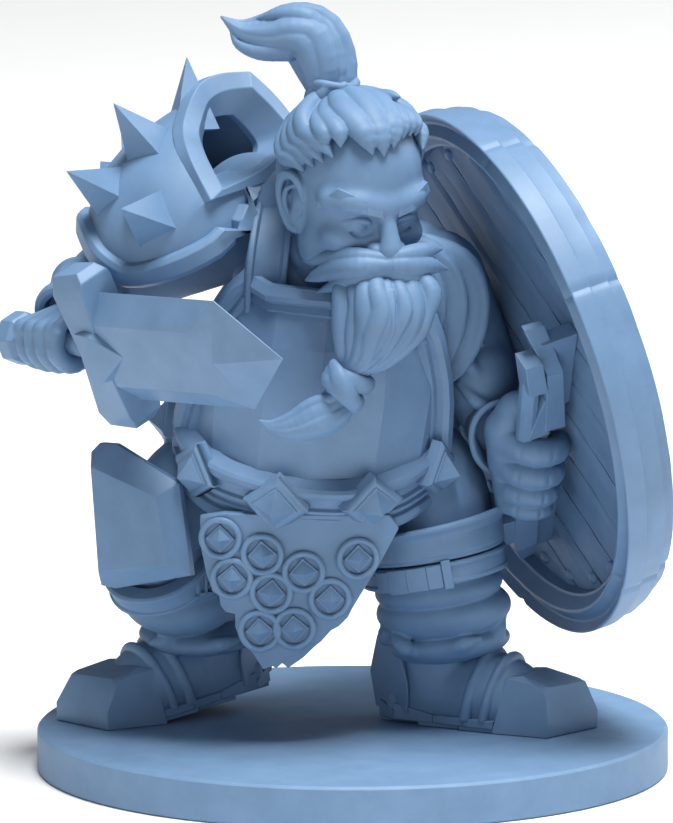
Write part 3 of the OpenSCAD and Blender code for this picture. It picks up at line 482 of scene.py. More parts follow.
def sculpt_moustache():
    """Each half sweeps out from under the nose in thick rolls that part into tapering lobes."""
    low, high = node_box("moustache")
    clay = Clay(low - 1.0, high + 0.9, 0.045)
    x, y, z = (low[0] + high[0]) / 2 + 0.75, low[1] + 0.2, high[2] - 0.3
    near = [((0.15, 0.1, 0.25, 0.22), (-0.9, 0.2, 0.3, 0.36), (-1.8, 0.85, 0.2, 0.36), (-2.6, 1.6, -0.05, 0.26),
             (-3.15, 2.2, -0.2, 0.04)),
            ((0.15, 0, 0.0, 0.26), (-0.9, 0.05, -0.05, 0.44), (-1.8, 0.7, -0.25, 0.42), (-2.5, 1.45, -0.62, 0.3),
             (-3.05, 2.05, -0.95, 0.04)),
            ((0.15, 0.05, -0.25, 0.22), (-0.75, 0.1, -0.4, 0.36), (-1.5, 0.6, -0.7, 0.34), (-2.1, 1.15, -1.08, 0.2),
             (-2.6, 1.7, -1.35, 0.04)),
            ((0.0, 0.6, 0.0, 0.4), (-1.2, 0.9, -0.1, 0.5), (-2.1, 1.6, -0.3, 0.35))]
    far = [((0.1, 0.1, 0.25, 0.22), (0.85, 0.25, 0.35, 0.36), (1.6, 0.8, 0.42, 0.34), (2.3, 1.5, 0.38, 0.05)),
           ((0.1, 0, 0.0, 0.26), (0.85, 0.15, -0.02, 0.42), (1.7, 0.75, -0.12, 0.38), (2.5, 1.45, -0.4, 0.06)),
           ((0.1, 0.05, -0.25, 0.22), (0.8, 0.2, -0.4, 0.36), (1.5, 0.7, -0.62, 0.32), (2.25, 1.3, -1.1, 0.05)),
           ((0.0, 0.6, 0.0, 0.4), (1.0, 0.9, -0.1, 0.5), (1.8, 1.5, -0.2, 0.35))]
    for rows in near + far:
        clay.add(lock([[x + r[0], y + r[1], z + r[2], r[3]] for r in rows]), 0.03)
    return clay.piece("moustache_cast")


# ---------- hair ----------

def strands(clay, path, count, thick=0.42, twist=0.0, soft=0.025):
    """A hank of hair: count strands side by side round a path of (x, y, z, radius)."""
    line = smooth_path(path, 3)
    up = vec(0.3, -0.25, 1.0)
    clay.add(lock([list(p[:3]) + [0.72 * p[3]] for p in line], steps=1), 0)
    for j in range(count):
        rows = []
        for i, p in enumerate(line):
            d = unit(line[min(i + 1, len(line) - 1)][:3] - line[max(i - 1, 0)][:3])
            b = unit(np.cross(d, up))
            a = np.cross(b, d)
            t = i / (len(line) - 1)
            angle = 2 * math.pi * (j + 0.5 * math.sin(2.4 * j)) / count + twist * t
            reach = p[3] * (1 - 0.8 * thick)
            wide = thick * p[3] * (0.8 + 0.35 * math.sin(5.1 * j + 1))
            rows.append(list(p[:3] + reach * (math.cos(angle) * b + math.sin(angle) * a)) + [max(wide, 0.02)])
        clay.add(lock(rows, steps=1), soft)
    return clay


def room_for(path, step=0.05):
    pts = np.array([p[:3] for p in path])
    big = max(p[3] for p in path) * 1.5
    return Clay(pts.min(0) - big, pts.max(0) + big, step)


def sculpt_hair():
    """Thick locks combed back from the temples, and three broad ones brought forward to a peak."""
    low, high = node_box("hair_cap")
    clay = Clay(low - 0.3, high + 0.6, 0.052)
    clay.add(head_egg(0, -0.75, 0.9, (2.5, 2.6, 2.72)), 0)
    clay.cut(head_egg(0, 3.1, 0.2, (3.2, 3.1, 3.2)), 0.1)
    knot = (0.25, -2.1, 3.25, 0.4)
    # from the knot over the crown: x at the crown, x at the tip, tip's y and z, radius
    crown = [(1.05, 0.66, 1.95, 2.66, 0.56), (0.2, 0.22, 2.1, 2.62, 0.58), (-0.62, -0.25, 1.92, 2.86, 0.5),
             (1.75, 1.68, 1.15, 2.68, 0.4), (-1.15, -0.85, 1.5, 3.02, 0.34), (-1.5, -1.3, 1.2, 2.95, 0.32),
             (-1.8, -1.75, 0.85, 2.75, 0.3), (2.15, 2.15, 0.55, 2.4, 0.34)]
    for side, x, y, z, r in crown:
        arch = 3.72 - 0.13 * side * side
        clay.add(lock(on_head(knot, (0.75 * side, -1.0, arch - 0.05, 0.85 * r), (side, 0.1, arch, r),
                              (0.5 * (side + x), 0.5 * y + 0.35, 0.5 * (z + arch) + 0.22, 0.92 * r), (x, y, z, 0.05)),
                      thin=(HEAD.way(0.2 * side, 0.4, 0.8), 1.3)), 0.02)
    # a stray curl standing up on the crown
    clay.add(lock(on_head((-0.9, -1.2, 3.55, 0.3), (-1.15, -0.5, 3.85, 0.26), (-1.3, 0.0, 4.05, 0.05))), 0.05)
    # waves swept back from the temples and up from the nape to the knot
    for s in (1, -1):
        for k in range(4):
            f = k / 3
            clay.add(lock(on_head((s * (2.0 + 0.6 * f), 1.2 - 1.0 * f, 2.3 - 1.05 * f, 0.05),
                                  (s * (2.22 + 0.4 * f), 0.45 - 0.9 * f, 2.62 - 1.2 * f, 0.34),
                                  (s * (2.3 + 0.3 * f), -0.45 - 0.8 * f, 2.55 - 1.35 * f, 0.4),
                                  (s * (2.15 + 0.25 * f), -1.2 - 0.7 * f, 2.85 - 1.35 * f, 0.42),
                                  (s * (1.2 + 0.2 * f), -2.0 - 0.7 * f, 3.1 - 1.0 * f, 0.42), knot)), 0.02)
        for k in range(5):
            f = k / 4
            clay.add(lock(on_head((s * (0.2 + 1.75 * f), -2.5 + 0.7 * f, -1.9 + 1.0 * f, 0.08),
                                  (s * (0.25 + 1.9 * f), -2.95 + 0.9 * f, -0.6 + 0.8 * f, 0.34),
                                  (s * (0.2 + 1.3 * f), -3.25 + 0.6 * f, 1.2, 0.38), (0.2, -2.6, 2.9, 0.36))), 0.03)
    return clay.piece("hair_cast")


def sculpt_ponytail():
    low, high = node_box("ponytail")
    y = (low[1] + high[1]) / 2
    foot = vec(*middle("topknot_band"))
    path = [list(foot + (-0.05, 0.1, -0.1)) + [0.75], [foot[0] - 0.2, y - 0.25, foot[2] + 1.2, 1.2],
            [foot[0] - 0.75, y, foot[2] + 2.4, 1.32], [foot[0] - 1.6, y, high[2] - 1.2, 1.1],
            [foot[0] - 2.6, y, high[2] - 1.3, 0.8], [foot[0] - 3.6, y, high[2] - 1.2, 0.42],
            [low[0] + 0.1, y, high[2] - 0.7, 0.05]]
    clay = strands(room_for(path), path, 10, 0.4, 0.5)
    clay.add(lock([[foot[0] - 1.8, y - 0.5, high[2] - 1.9, 0.5], [foot[0] - 2.9, y - 0.5, high[2] - 2.0, 0.34],
                   [foot[0] - 3.7, y - 0.3, high[2] - 1.75, 0.2], [low[0] + 0.45, y - 0.2, high[2] - 1.25, 0.04]]),
                   0.03)
    clay.add(lock([[foot[0] - 0.3, y - 0.4, foot[2] + 2.2, 0.5], [foot[0] - 1.0, y - 0.5, high[2] - 0.7, 0.45],
                   [foot[0] - 2.1, y - 0.3, high[2] - 0.55, 0.3], [foot[0] - 3.0, y - 0.1, high[2] - 0.75, 0.05]]),
                   0.03)
    return clay.piece("ponytail_cast")


def sculpt_topknot():
    """A bun of wound locks at the foot of the ponytail, held by a plain band."""
    c = middle("topknot_band")
    clay = Clay(c - 1.8, c + 1.8, 0.05)
    clay.add(egg(Pose(c, (0, 0, 1)), (1.0, 1.0, 0.8)), 0)
    for k in range(8):
        a = 2 * math.pi * k / 8
        ring = [c + vec(0.85 * math.cos(a + 0.5 * t), 0.85 * math.sin(a + 0.5 * t), 0.75 * t)
                for t in (-1, -0.3, 0.4, 1)]
        clay.add(lock(with_radius(ring, (0.2, 0.32, 0.32, 0.2))), 0.03)
    for lift, thick in ((0.78, 0.17), (0.55, 0.13)):
        band = [c + vec(0.88 * math.cos(t), 0.88 * math.sin(t), lift + 0.08 * math.sin(2 * t))
                for t in np.linspace(0, 2 * math.pi, 13)]
        clay.add(lock(with_radius(band, [thick] * 13), steps=2), 0.02)
    return clay.piece("topknot_cast")


def sculpt_beard():
    """Long strands from under the moustache, swelling and then drawn in to the tie."""
    low, high = node_box("beard")
    tie = middle("beard_tie")
    clay = Clay(low - 0.6, high + 0.7, 0.045)
    x, y = high[0] - 1.95, low[1] + 0.35
    clay.add(egg(Pose((x, y + 1.35, high[2] - 2.0), (0, 0, 1)), (1.55, 1.15, 1.6)), 0)
    clay.add(lock([[x - 0.1, y + 1.2, high[2] - 2.4, 1.2], [x - 0.6, y + 0.95, high[2] - 3.6, 0.75],
                   list(tie) + [0.4]]), 0.2)
    for j in range(8):
        s = -1 + 2 * j / 7
        wide = 0.42 + 0.1 * math.sin(4.3 * j + 0.5)
        bow = 0.08 * math.sin(2.7 * j)
        rows = [[x + 1.2 * s, y + 0.95 + 0.9 * s * s, high[2] - 0.75, 0.6 * wide],
                [x + 1.5 * s, y + 0.4 + 1.05 * s * s, high[2] - 1.15, 0.9 * wide],
                [x + 0.1 + 1.6 * s + bow, y + 0.08 + 1.05 * s * s, high[2] - 1.9, wide],
                [x - 0.1 + 1.42 * s - bow, y + 0.1 + 0.95 * s * s, high[2] - 2.8, 0.95 * wide],
                [x - 0.55 + 0.98 * s, y + 0.35 + 0.6 * s * s, high[2] - 3.8, 0.62 * wide],
                [tie[0] + 0.18 + 0.42 * s, tie[1] - 0.3 + 0.35 * s * s, tie[2] + 0.4, 0.36 * wide]]
        clay.add(lock(rows, steps=5), 0.015)
        rows = [[p[0] + 0.17, p[1] - 0.16 - 0.3 * p[3], p[2], 0.34 * p[3]] for p in rows]
        clay.add(lock(rows[1:], steps=5), 0.05)
    # the lock that turns over at the beard's edge
    clay.add(lock([[x + 1.4, y + 1.3, high[2] - 0.75, 0.36], [x + 1.9, y + 1.05, high[2] - 1.35, 0.44],
                   [x + 1.72, y + 0.8, high[2] - 2.1, 0.36], [x + 1.35, y + 0.7, high[2] - 2.9, 0.36],
                   [x + 0.3, y + 0.7, high[2] - 4.0, 0.22], [tie[0] + 0.5, tie[1], tie[2] + 0.35, 0.1]]), 0.03)
    return clay.piece("beard_cast")


def sculpt_beard_tie():
    """A strip of cloth wound twice round the beard, the outer turn crossing the inner one."""
    c = middle("beard_tie")
    pose = Pose(c + (0.05, 0, 0.05), (0.5, 0.05, 0.86))
    clay = Clay(c - 1.7, c + 1.7, 0.045)
    flat = (pose.c, 0.6)
    for lift, lean, r in ((0.32, 0.12, 0.8), (-0.22, -0.18, 0.8)):
        ring = [pose(r * math.cos(t), (r - 0.04) * math.sin(t), lift + lean * math.cos(t))
                for t in np.linspace(0, 2 * math.pi, 15)]
        clay.add(lock(with_radius(ring, [0.22] * 15), thin=flat, steps=2), 0.015)
    clay.add(lock(with_radius([pose(-0.88, -0.25, 0.5), pose(-0.45, -0.78, 0.22), pose(0.2, -0.88, -0.12),
                               pose(0.75, -0.5, -0.35)],
                              (0.14, 0.24, 0.24, 0.14)), thin=flat), 0.015)
    clay.add(egg(Pose(c, (0, 0, 1)), (0.72, 0.68, 0.6)), 0.02)
    return clay.piece("beard_tie_cast")


def sculpt_beard_tail():
    low = node_box("beard_tail")[0]
    tie = middle("beard_tie")
    y = tie[1]
    path = [[tie[0] - 0.1, y, tie[2] - 0.2, 0.5], [tie[0] - 0.4, y - 0.05, tie[2] - 0.8, 0.72],
            [tie[0] - 1.1, y - 0.05, low[2] + 0.95, 0.8], [tie[0] - 1.95, y, low[2] + 0.6, 0.58],
            [tie[0] - 2.75, y, low[2] + 0.5, 0.3], [low[0] + 0.05, y, low[2] + 0.75, 0.04]]
    return strands(room_for(path, 0.045), path, 7, 0.46, 0.6).piece("beard_tail_cast")


# ---------- colours and nodes ----------

def hex_colour(code):
    """An sRGB hex value as linear light."""
    parts = [int(code[i:i + 2], 16) / 255 for i in (1, 3, 5)]
    return [v / 12.92 if v <= 0.04045 else ((v + 0.055) / 1.055) ** 2.4 for v in parts] + [1.0]


def node(tree, kind, settings=None, **links):
    """Adds a node; settings are its values by socket or property, links are sockets to join to it."""
    n = tree.nodes.new(kind)
    for key, value in (settings or {}).items():
        if isinstance(key, int):
            n.inputs[key].default_value = value
        elif key in n.inputs:
            n.inputs[key].default_value = value
        else:
            setattr(n, key, value)
    for key, source in links.items():
        target = n.inputs[int(key[1:])] if key[0] == "i" and key[1:].isdigit() else n.inputs[key.replace("_", " ")]
        tree.links.new(source, target)
    return n


# ---------- repeats: studs, rings, rivets and spikes set by geometry nodes ----------

def set_along(name, places, build, inputs):
    """Sets one small casting at each place (pose, size). build(tree, group_in) adds the nodes that shape it
    and returns its geometry socket; inputs are its named sizes in mm."""
    tree = bpy.data.node_groups.new(name + "_tree", "GeometryNodeTree")
    tree.interface.new_socket("Geometry", in_out="INPUT", socket_type="NodeSocketGeometry")
    tree.interface.new_socket("Geometry", in_out="OUTPUT", socket_type="NodeSocketGeometry")
    for label in inputs:
        tree.interface.new_socket(label, in_out="INPUT", socket_type="NodeSocketFloat")
    tree.interface.new_socket("Finish", in_out="INPUT", socket_type="NodeSocketMaterial")
    group_in = tree.nodes.new("NodeGroupInput")
    group_out = tree.nodes.new("NodeGroupOutput")
    shape = build(tree, group_in)
    turn = node(tree, "GeometryNodeInputNamedAttribute", {"data_type": "FLOAT_VECTOR", "Name": "turn"})
    size = node(tree, "GeometryNodeInputNamedAttribute", {"data_type": "FLOAT", "Name": "size"})
    spread = node(tree, "GeometryNodeInstanceOnPoints", Points=group_in.outputs["Geometry"], Instance=shape,
                  Rotation=turn.outputs["Attribute"], Scale=size.outputs["Attribute"])
    real = node(tree, "GeometryNodeRealizeInstances", Geometry=spread.outputs["Instances"])
    coated = node(tree, "GeometryNodeSetMaterial", Geometry=real.outputs["Geometry"],
                  Material=group_in.outputs["Finish"])
    tree.links.new(coated.outputs["Geometry"], group_out.inputs["Geometry"])

    o = mesh_piece(name, [pose.o * MM for pose, _ in places], [])
    o.data.attributes.new("turn", "FLOAT_VECTOR", "POINT")
    o.data.attributes.new("size", "FLOAT", "POINT")
    for k, (pose, scale) in enumerate(places):
        axes = Matrix([pose.a, pose.b, pose.c]).transposed()
        o.data.attributes["turn"].data[k].vector = axes.to_euler()
        o.data.attributes["size"].data[k].value = scale
    m = o.modifiers.new("set", "NODES")
    m.node_group = tree
    for item in tree.interface.items_tree:
        if item.item_type == "SOCKET" and item.in_out == "INPUT" and item.name in inputs:
            m[item.identifier] = inputs[item.name] * MM
    bake(o)
    for spare in ("turn", "size"):
        if spare in o.data.attributes:
            o.data.attributes.remove(o.data.attributes[spare])
    return o


def stack(tree, group_in, layers):
    """Frustums standing on one another. Each layer is (sides, foot input, top input, height input, lift input)."""
    join = node(tree, "GeometryNodeJoinGeometry")
    for sides, foot, top, height, lift in layers:
        cone = node(tree, "GeometryNodeMeshCone", {"Vertices": sides, "Side Segments": 1},
                    Radius_Bottom=group_in.outputs[foot], Radius_Top=group_in.outputs[top],
                    Depth=group_in.outputs[height])
        raise_by = node(tree, "ShaderNodeCombineXYZ", Z=group_in.outputs[lift])
        placed = node(tree, "GeometryNodeTransform", Geometry=cone.outputs["Mesh"],
                      Translation=raise_by.outputs["Vector"])
        tree.links.new(placed.outputs["Geometry"], join.inputs["Geometry"])
    return join.outputs["Geometry"]


def ring_of(tree, group_in, radius, thick):
    """A plain ring of round section."""
    line = node(tree, "GeometryNodeCurvePrimitiveCircle", {"Resolution": 40}, Radius=group_in.outputs[radius])
    section = node(tree, "GeometryNodeCurvePrimitiveCircle", {"Resolution": 12}, Radius=group_in.outputs[thick])
    return node(tree, "GeometryNodeCurveToMesh", Curve=line.outputs["Curve"],
                Profile_Curve=section.outputs["Curve"]).outputs["Mesh"]


def crisp(o, bevel):
    """Closes a piece's seams, points its faces outwards and breaks its sharp edges."""
    bm = bmesh.new()
    bm.from_mesh(o.data)
    bmesh.ops.remove_doubles(bm, verts=bm.verts, dist=2e-6)
    bmesh.ops.dissolve_limit(bm, angle_limit=math.radians(1), verts=bm.verts, edges=bm.edges)
    bmesh.ops.recalc_face_normals(bm, faces=bm.faces)
    bm.to_mesh(o.data)
    bm.free()
    return bevelled(o, bevel)


# ---------- boots ----------

DECK = node_box("base_disc")[1][2]


def foot_pose(heel_x, heel_y, turn, lift):
    """Axes of a foot: a forward from the back of the heel, b to the left, c up; lift tips it about its ball."""
    a, l = math.radians(turn), math.radians(lift)
    level = Pose((heel_x, heel_y, DECK), (0, 0, 1), (math.cos(a), math.sin(a), 0))
    ball = level(6, 0, 0)
    forward, up = level.way(math.cos(l), 0, -math.sin(l)), level.way(math.sin(l), 0, math.cos(l))
    return Pose(ball - 6 * forward, up, forward)


LEFT_FOOT, RIGHT_FOOT = foot_pose(1.5, 2.0, -27, 0), foot_pose(-3.7, 4.3, 212, 9)
RIGHT_TOES = foot_pose(-3.7, 4.3, 212, 0)


def sculpt_boot(name, foot, node_name):
    """Soft upper with two raised cords over the instep and a crease at the ankle."""
    low, high = node_box(node_name)
    clay = Clay(low - 0.7, high + (0.7, 0.7, 0.9), 0.052)

    def at(*rows):
        return [list(foot(*r[:3])) + [r[3]] for r in rows]
    clay.add(lock(at((1.7, 0, 1.35, 1.3), (3.4, 0, 1.35, 1.5), (5.0, 0, 1.2, 1.5), (6.2, 0, 0.95, 1.25))), 0.3)
    clay.add(egg(Pose(foot(4.6, 0, 1.45), foot.c, foot.a), (1.9, 1.5, 1.42)), 0.35)
    clay.add(lock(at((2.0, 0, 1.8, 1.5), (2.2, 0, 3.2, 1.62), (2.25, 0, 3.75, 1.6))), 0.35)
    clay.add(block(Pose(foot(3.5, 0, 0.8), foot.c, foot.a), (3.1, 1.35, 0.5), 0.3), 0.3)
    for x, r in ((4.95, 0.2), (4.15, 0.24)):
        cord = []
        for k in range(11):
            a = math.radians(-100 + 20 * k)
            cord.append((x + 0.45 * math.cos(a), 1.58 * math.sin(a),
                         0.85 + 2.0 * max(math.cos(a), -0.2) * (1.0 if x > 4.5 else 1.06), r))
        clay.add(lock(at(*cord), steps=2), 0.04)
    for z, bow in ((2.75, 0.15),):
        crease = [(2.2 + 1.75 * math.cos(a), 1.75 * math.sin(a), z + bow * math.sin(2 * a), 0.05)
                  for a in np.linspace(-2.6, 2.6, 9)]
        clay.cut(lock(at(*crease), steps=2), 0.14)
    # the sole lies under the upper, so the underside is cut level
    clay.cut(block(Pose(foot(4, 0, -1.05), foot.c, foot.a), (7, 4, 1.45), 0.02), 0.02)
    return clay.piece(name)


def make_toe_cap(name, foot, near):
    """Iron toe cap in flat planes, its corner nearest the front cut off in a small triangle."""
    floor = [(5.3, -1.68), (5.3, 1.68), (7.72 + 0.35 * (near > 0), 1.56 * near),
             (8.5 + 0.15 * (near > 0), -1.35 * near),
             (8.15, -1.62 * near)]
    top = [(5.75, 1.3, 2.24), (5.75, -1.3, 2.24), (6.4, 1.05, 2.34), (6.4, -1.05, 2.34), (7.15, 1.3 * near, 2.0),
           (7.5, 0.98 * near, 1.95), (8.1, -1.12 * near, 1.9), (7.7, -1.32 * near, 1.98), (7.62, 1.42 * near, 1.6)]
    points = [foot(x, y, 0.02) for x, y in floor] + [foot(*p) for p in top]
    points += [foot(x * 1.0 + 0.03, y * 1.01, 0.75) for x, y in floor[2:4]]
    return faceted(name, [points], bevel=0.055, segments=3)


def make_heel_guard(name, foot):
    """Iron plate round the back of the heel, in flat planes with a raised top edge."""
    def wall(y0, y1, x0, x1):
        return [foot(x0 - 0.32, y0 * 0.8, 0.45), foot(x1, y1, 0.45), foot(x0 - 0.55, y0 * 0.9, 1.9),
                foot(x1 + 0.1, y1 * 1.08, 1.7),
                foot(x0 - 0.3, y0 * 0.75, 3.35), foot(x1 - 0.35, y1 * 1.05, 3.05), foot(x0 + 0.25, y0 * 0.6, 0.45),
                foot(x1, y1 * 0.75, 0.45), foot(x0 + 0.1, y0 * 0.6, 3.3), foot(x1 - 0.35, y1 * 0.75, 3.0)]
    solids = [wall(0.8, 1.62, 0.0, 1.55), wall(-0.8, -1.62, 0.0, 1.55),
              [foot(x, y, z) for x, y, z in ((-0.32, 0.66, 0.45), (-0.32, -0.66, 0.45), (-0.55, 0.75, 1.9),
                                             (-0.55, -0.75, 1.9),
                                            (-0.3, 0.62, 3.35), (-0.3, -0.62, 3.35), (0.3, 0.6, 0.45),
                                            (0.3, -0.6, 0.45),
                                            (0.15, 0.6, 3.3), (0.15, -0.6, 3.3))]]
    return faceted(name, solids, bevel=0.06, segments=2)


def make_sole(name, foot):
    """Thick sole with a stepped edge and worn treads under it."""
    rng = np.random.default_rng(5)
    solids = []
    half = [(0.0, 1.0), (0.9, 1.5), (2.6, 1.5), (4.0, 1.66), (5.35, 1.7)]
    for (x0, y0), (x1, y1) in zip(half[:-1], half[1:]):
        rise0, rise1 = 0.5 + 0.35 * (x0 < 1.0), 0.5
        solids.append([foot(x, s * y, z) for x, y, r in ((x0, y0, rise0), (x1, y1, rise1)) for s in (-1, 1)
                       for z in (0.18, r)])
    x = 0.1
    while x < 5.3:
        wide = float(rng.uniform(1.3, 1.9))
        y = float(np.interp(x, [h[0] for h in half], [h[1] for h in half]))
        solids.append([foot(px, py, z) for px in (x, min(x + wide, 5.35)) for py in (-y + 0.03, y - 0.03)
                       for z in (0.01, 0.2)])
        x += wide + 0.07
    return faceted(name, solids, bevel=0.035, segments=1)


# ---------- trousers ----------

def rolls(clay, rows, soft):
    """Overlapping rolls of cloth: (x, y, z, half width, half depth, half height, lean x, lean y)."""
    for x, y, z, rx, ry, rz, lean_x, lean_y in rows:
        clay.add(egg(Pose((x, y, z), (lean_x, lean_y, 1)), (rx, ry, rz)), soft)


def sculpt_left_trousers():
    low, high = node_box("left_trouser_leg")
    clay = Clay(low - 0.3, high + 0.3, 0.06)
    rolls(clay, [(3.85, 0.5, 4.95, 2.4, 2.3, 0.85, -0.12, 0.1), (3.6, 0.25, 6.35, 2.68, 2.62, 1.25, -0.1, 0.03),
                 (3.4, 0.0, 7.3, 2.55, 2.5, 1.0, -0.14, 0.0), (3.2, -0.1, 8.3, 2.4, 2.35, 1.2, -0.1, 0.0)], 0.09)
    clay.add(lock([[3.1, -0.2, 8.6, 2.35], [3.05, 0.1, 10.4, 2.45], [2.5, 0.6, 12.0, 2.2], [1.9, 0.9, 12.9, 1.7]]), 0.3)
    # short slanting folds pushed up from the boot
    for x, y, z, dx, dz, r in ((2.0, -1.35, 5.15, 0.9, -0.75, 0.34), (4.3, -1.75, 5.3, 1.3, 0.35, 0.3),
                               (5.7, -0.6, 5.6, 0.5, 0.9, 0.35),
                               (1.35, 0.4, 5.3, 0.3, 0.9, 0.36), (3.2, -2.0, 7.4, 1.6, 0.3, 0.36)):
        clay.add(lock([[x - dx / 2, y + 0.25, z - dz / 2, 0.1], [x, y, z, r], [x + dx / 2, y + 0.25, z + dz / 2, 0.1]]),
                 0.22)
    return clay.piece("left_trousers_cast")


def sculpt_right_trousers():
    low, high = node_box("right_trouser_leg")
    clay = Clay(low - 0.3, high + 0.3, 0.06)
    rolls(clay, [(-6.15, 2.15, 5.0, 2.35, 2.3, 0.72, 0.0, -0.1), (-6.75, 1.2, 6.75, 2.42, 2.45, 1.45, -0.04, -0.25),
                 (-7.1, 0.5, 7.8, 2.2, 2.2, 1.2, -0.1, -0.3)], 0.09)
    clay.add(lock([[-7.3, 0.1, 8.3, 1.95], [-7.7, -0.75, 9.6, 1.85], [-6.7, -0.2, 10.9, 2.05], [-5.4, 0.6, 11.9, 2.1]]),
             0.35)
    for x, y, z, dx, dz, r in ((-5.2, 0.0, 4.95, 1.5, 0.3, 0.3), (-7.4, 0.35, 5.05, 1.2, 0.35, 0.3),
                               (-6.3, -1.0, 7.4, 1.8, -0.5, 0.34),
                               (-4.9, 0.4, 6.6, 0.6, 1.2, 0.4)):
        clay.add(lock([[x - dx / 2, y + 0.25, z - dz / 2, 0.1], [x, y, z, r], [x + dx / 2, y + 0.25, z + dz / 2, 0.1]]),
                 0.22)
    return clay.piece("right_trousers_cast")


def sculpt_seat():
    low, high = node_box("trouser_seat")
    clay = Clay(low - 0.2, high + 0.2, 0.08)
    rolls(clay, [(-1.5, 1.6, 9.4, 3.3, 2.5, 1.1, 0, 0), (-1.6, 1.2, 10.9, 4.5, 3.6, 1.9, 0, 0),
                 (-1.7, 0.8, 12.4, 4.6, 4.0, 1.4, 0, 0)], 0.3)
    for x, dz in ((-4.4, 0.3), (-2.6, -0.2), (-0.6, 0.2), (1.2, -0.3)):
        clay.cut(lock([[x, 4.9, 12.4, 0.1], [x + 0.4, 5.1, 11.0 + dz, 0.16], [-1.5, 4.1, 9.2, 0.05]]), 0.35)
    return clay.piece("seat_cast")


KNEE = Pose((3.1, -0.2, 8.9), (-0.17, 0.03, 1))


def make_knee_band():
    """A cuff in two thicknesses, its upper edge turned out in a lip."""
    profile = [(2.25, -0.2), (2.86, -0.2), (2.92, -0.12), (2.9, 0.0), (2.94, 0.06), (2.96, 0.75), (3.02, 0.86),
               (3.16, 0.98),
               (3.3, 1.06), (3.34, 1.16), (3.28, 1.26), (3.14, 1.28), (2.98, 1.12), (2.82, 0.95), (2.5, 0.75),
               (2.25, 0.7)]

    def flare(a, r, z):
        high = max(0.0, z - 0.7)
        return r + 0.3 * high * math.cos(a - 0.2), z + 0.28 * high * math.cos(a - 0.1)
    return lathed("knee_band_cast", KNEE, profile, count=128, bevel=0.03, turn=flare)


def make_knee_belt():
    """A strap with rolled edges, its free end lapped over, and a keeper."""
    profile = [(2.3, -1.18), (2.84, -1.18), (2.93, -1.12), (2.93, -1.02), (2.84, -0.96), (2.84, -0.5), (2.93, -0.44),
               (2.93, -0.34), (2.84, -0.28), (2.3, -0.28)]
    strap = lathed("strap", KNEE, profile, count=128, bevel=0.02)

    def lap(a0, a1, z0, z1, r0, r1):
        return [KNEE(r * math.cos(math.radians(a)), r * math.sin(math.radians(a)), z)
                for a in np.linspace(a0, a1, 5) for r in (r0, r1) for z in (z0, z1)]
    flaps = faceted("flaps", [lap(-128, -112, -1.26, -0.3, 2.6, 3.02), lap(-112, -96, -1.24, -0.3, 2.6, 3.03),
                              lap(-96, -84, -1.22, -0.32, 2.6, 3.02), lap(-84, -77, -1.3, -0.16, 2.6, 3.1),
                              lap(-140, -128, -1.2, -0.35, 2.6, 3.0)], bevel=0.04)
    return joined("knee_belt_cast", [strap, flaps])


def make_right_knee_strap():
    """The strap that holds the knee guard, with a small square buckle."""
    pose = Pose((-7.55, -0.5, 8.1), (-0.3, -0.5, 0.81))
    profile = [(1.6, -0.5), (2.2, -0.5), (2.32, -0.42), (2.32, -0.3), (2.22, -0.24), (2.22, 0.24), (2.32, 0.3),
               (2.32, 0.42),
               (2.2, 0.5), (1.6, 0.5)]
    ring = lathed("ring", pose, profile, count=96, bevel=0.03)
    c = vec(-5.85, -1.85, 7.75)
    frame_pose = Pose(c, (0.55, -0.83, 0.1))
    bars = []
    for x, y, hx, hy in ((-0.36, 0, 0.08, 0.5), (0.36, 0, 0.08, 0.5), (0, 0.42, 0.44, 0.08), (0, -0.42, 0.44, 0.08),
                         (0, 0, 0.06, 0.45)):
        bars.append([frame_pose(x + sx * hx, y + sy * hy, z) for sx in (-1, 1) for sy in (-1, 1) for z in (-0.4, 0.16)])
    return joined("right_strap_cast", [ring, faceted("buckle", bars, bevel=0.03)])


# ---------- body, arms and cloth ----------

def sculpt_torso():
    """The padded coat under the armour."""
    low, high = node_box("torso")
    clay = Clay(low - 0.1, high + (0.1, 0.1, -0.2), 0.09)
    rows = [(-1.7, 0.4, 12.6, 4.6, 4.45, 1.6), (-1.6, 0.2, 15.0, 4.75, 4.75, 3.0), (-1.2, 0.2, 17.8, 4.5, 4.5, 2.6),
            (-0.7, 0.1, 20.2, 4.2, 3.7, 1.9), (-0.3, -1.2, 22.0, 2.7, 2.5, 1.2)]
    rolls(clay, [r + (0, 0) for r in rows], 0.5)
    clay.add(lock([[-0.2, -2.2, 22.4, 1.6], [0.0, -3.2, 23.2, 1.3]]), 0.4)
    return clay.piece("torso_cast")


def sculpt_collar():
    """Soft folds of cloth round the neck."""
    low, high = node_box("collar")
    clay = Clay(low - 0.5, high + 0.4, 0.055)
    pose = Pose((-0.3, -2.2, 22.2), (0.1, -0.75, 0.65))
    for r, z, thick, lean in ((2.35, -0.35, 0.42, 0.2), (2.2, 0.15, 0.36, -0.12), (2.0, 0.55, 0.28, 0.1)):
        ring = [list(pose(r * math.cos(a), r * math.sin(a), z + lean * math.sin(2 * a))) + [thick]
                for a in np.linspace(0, 2 * math.pi, 17)]
        clay.add(lock(ring, steps=2), 0.08)
    return clay.piece("collar_cast")


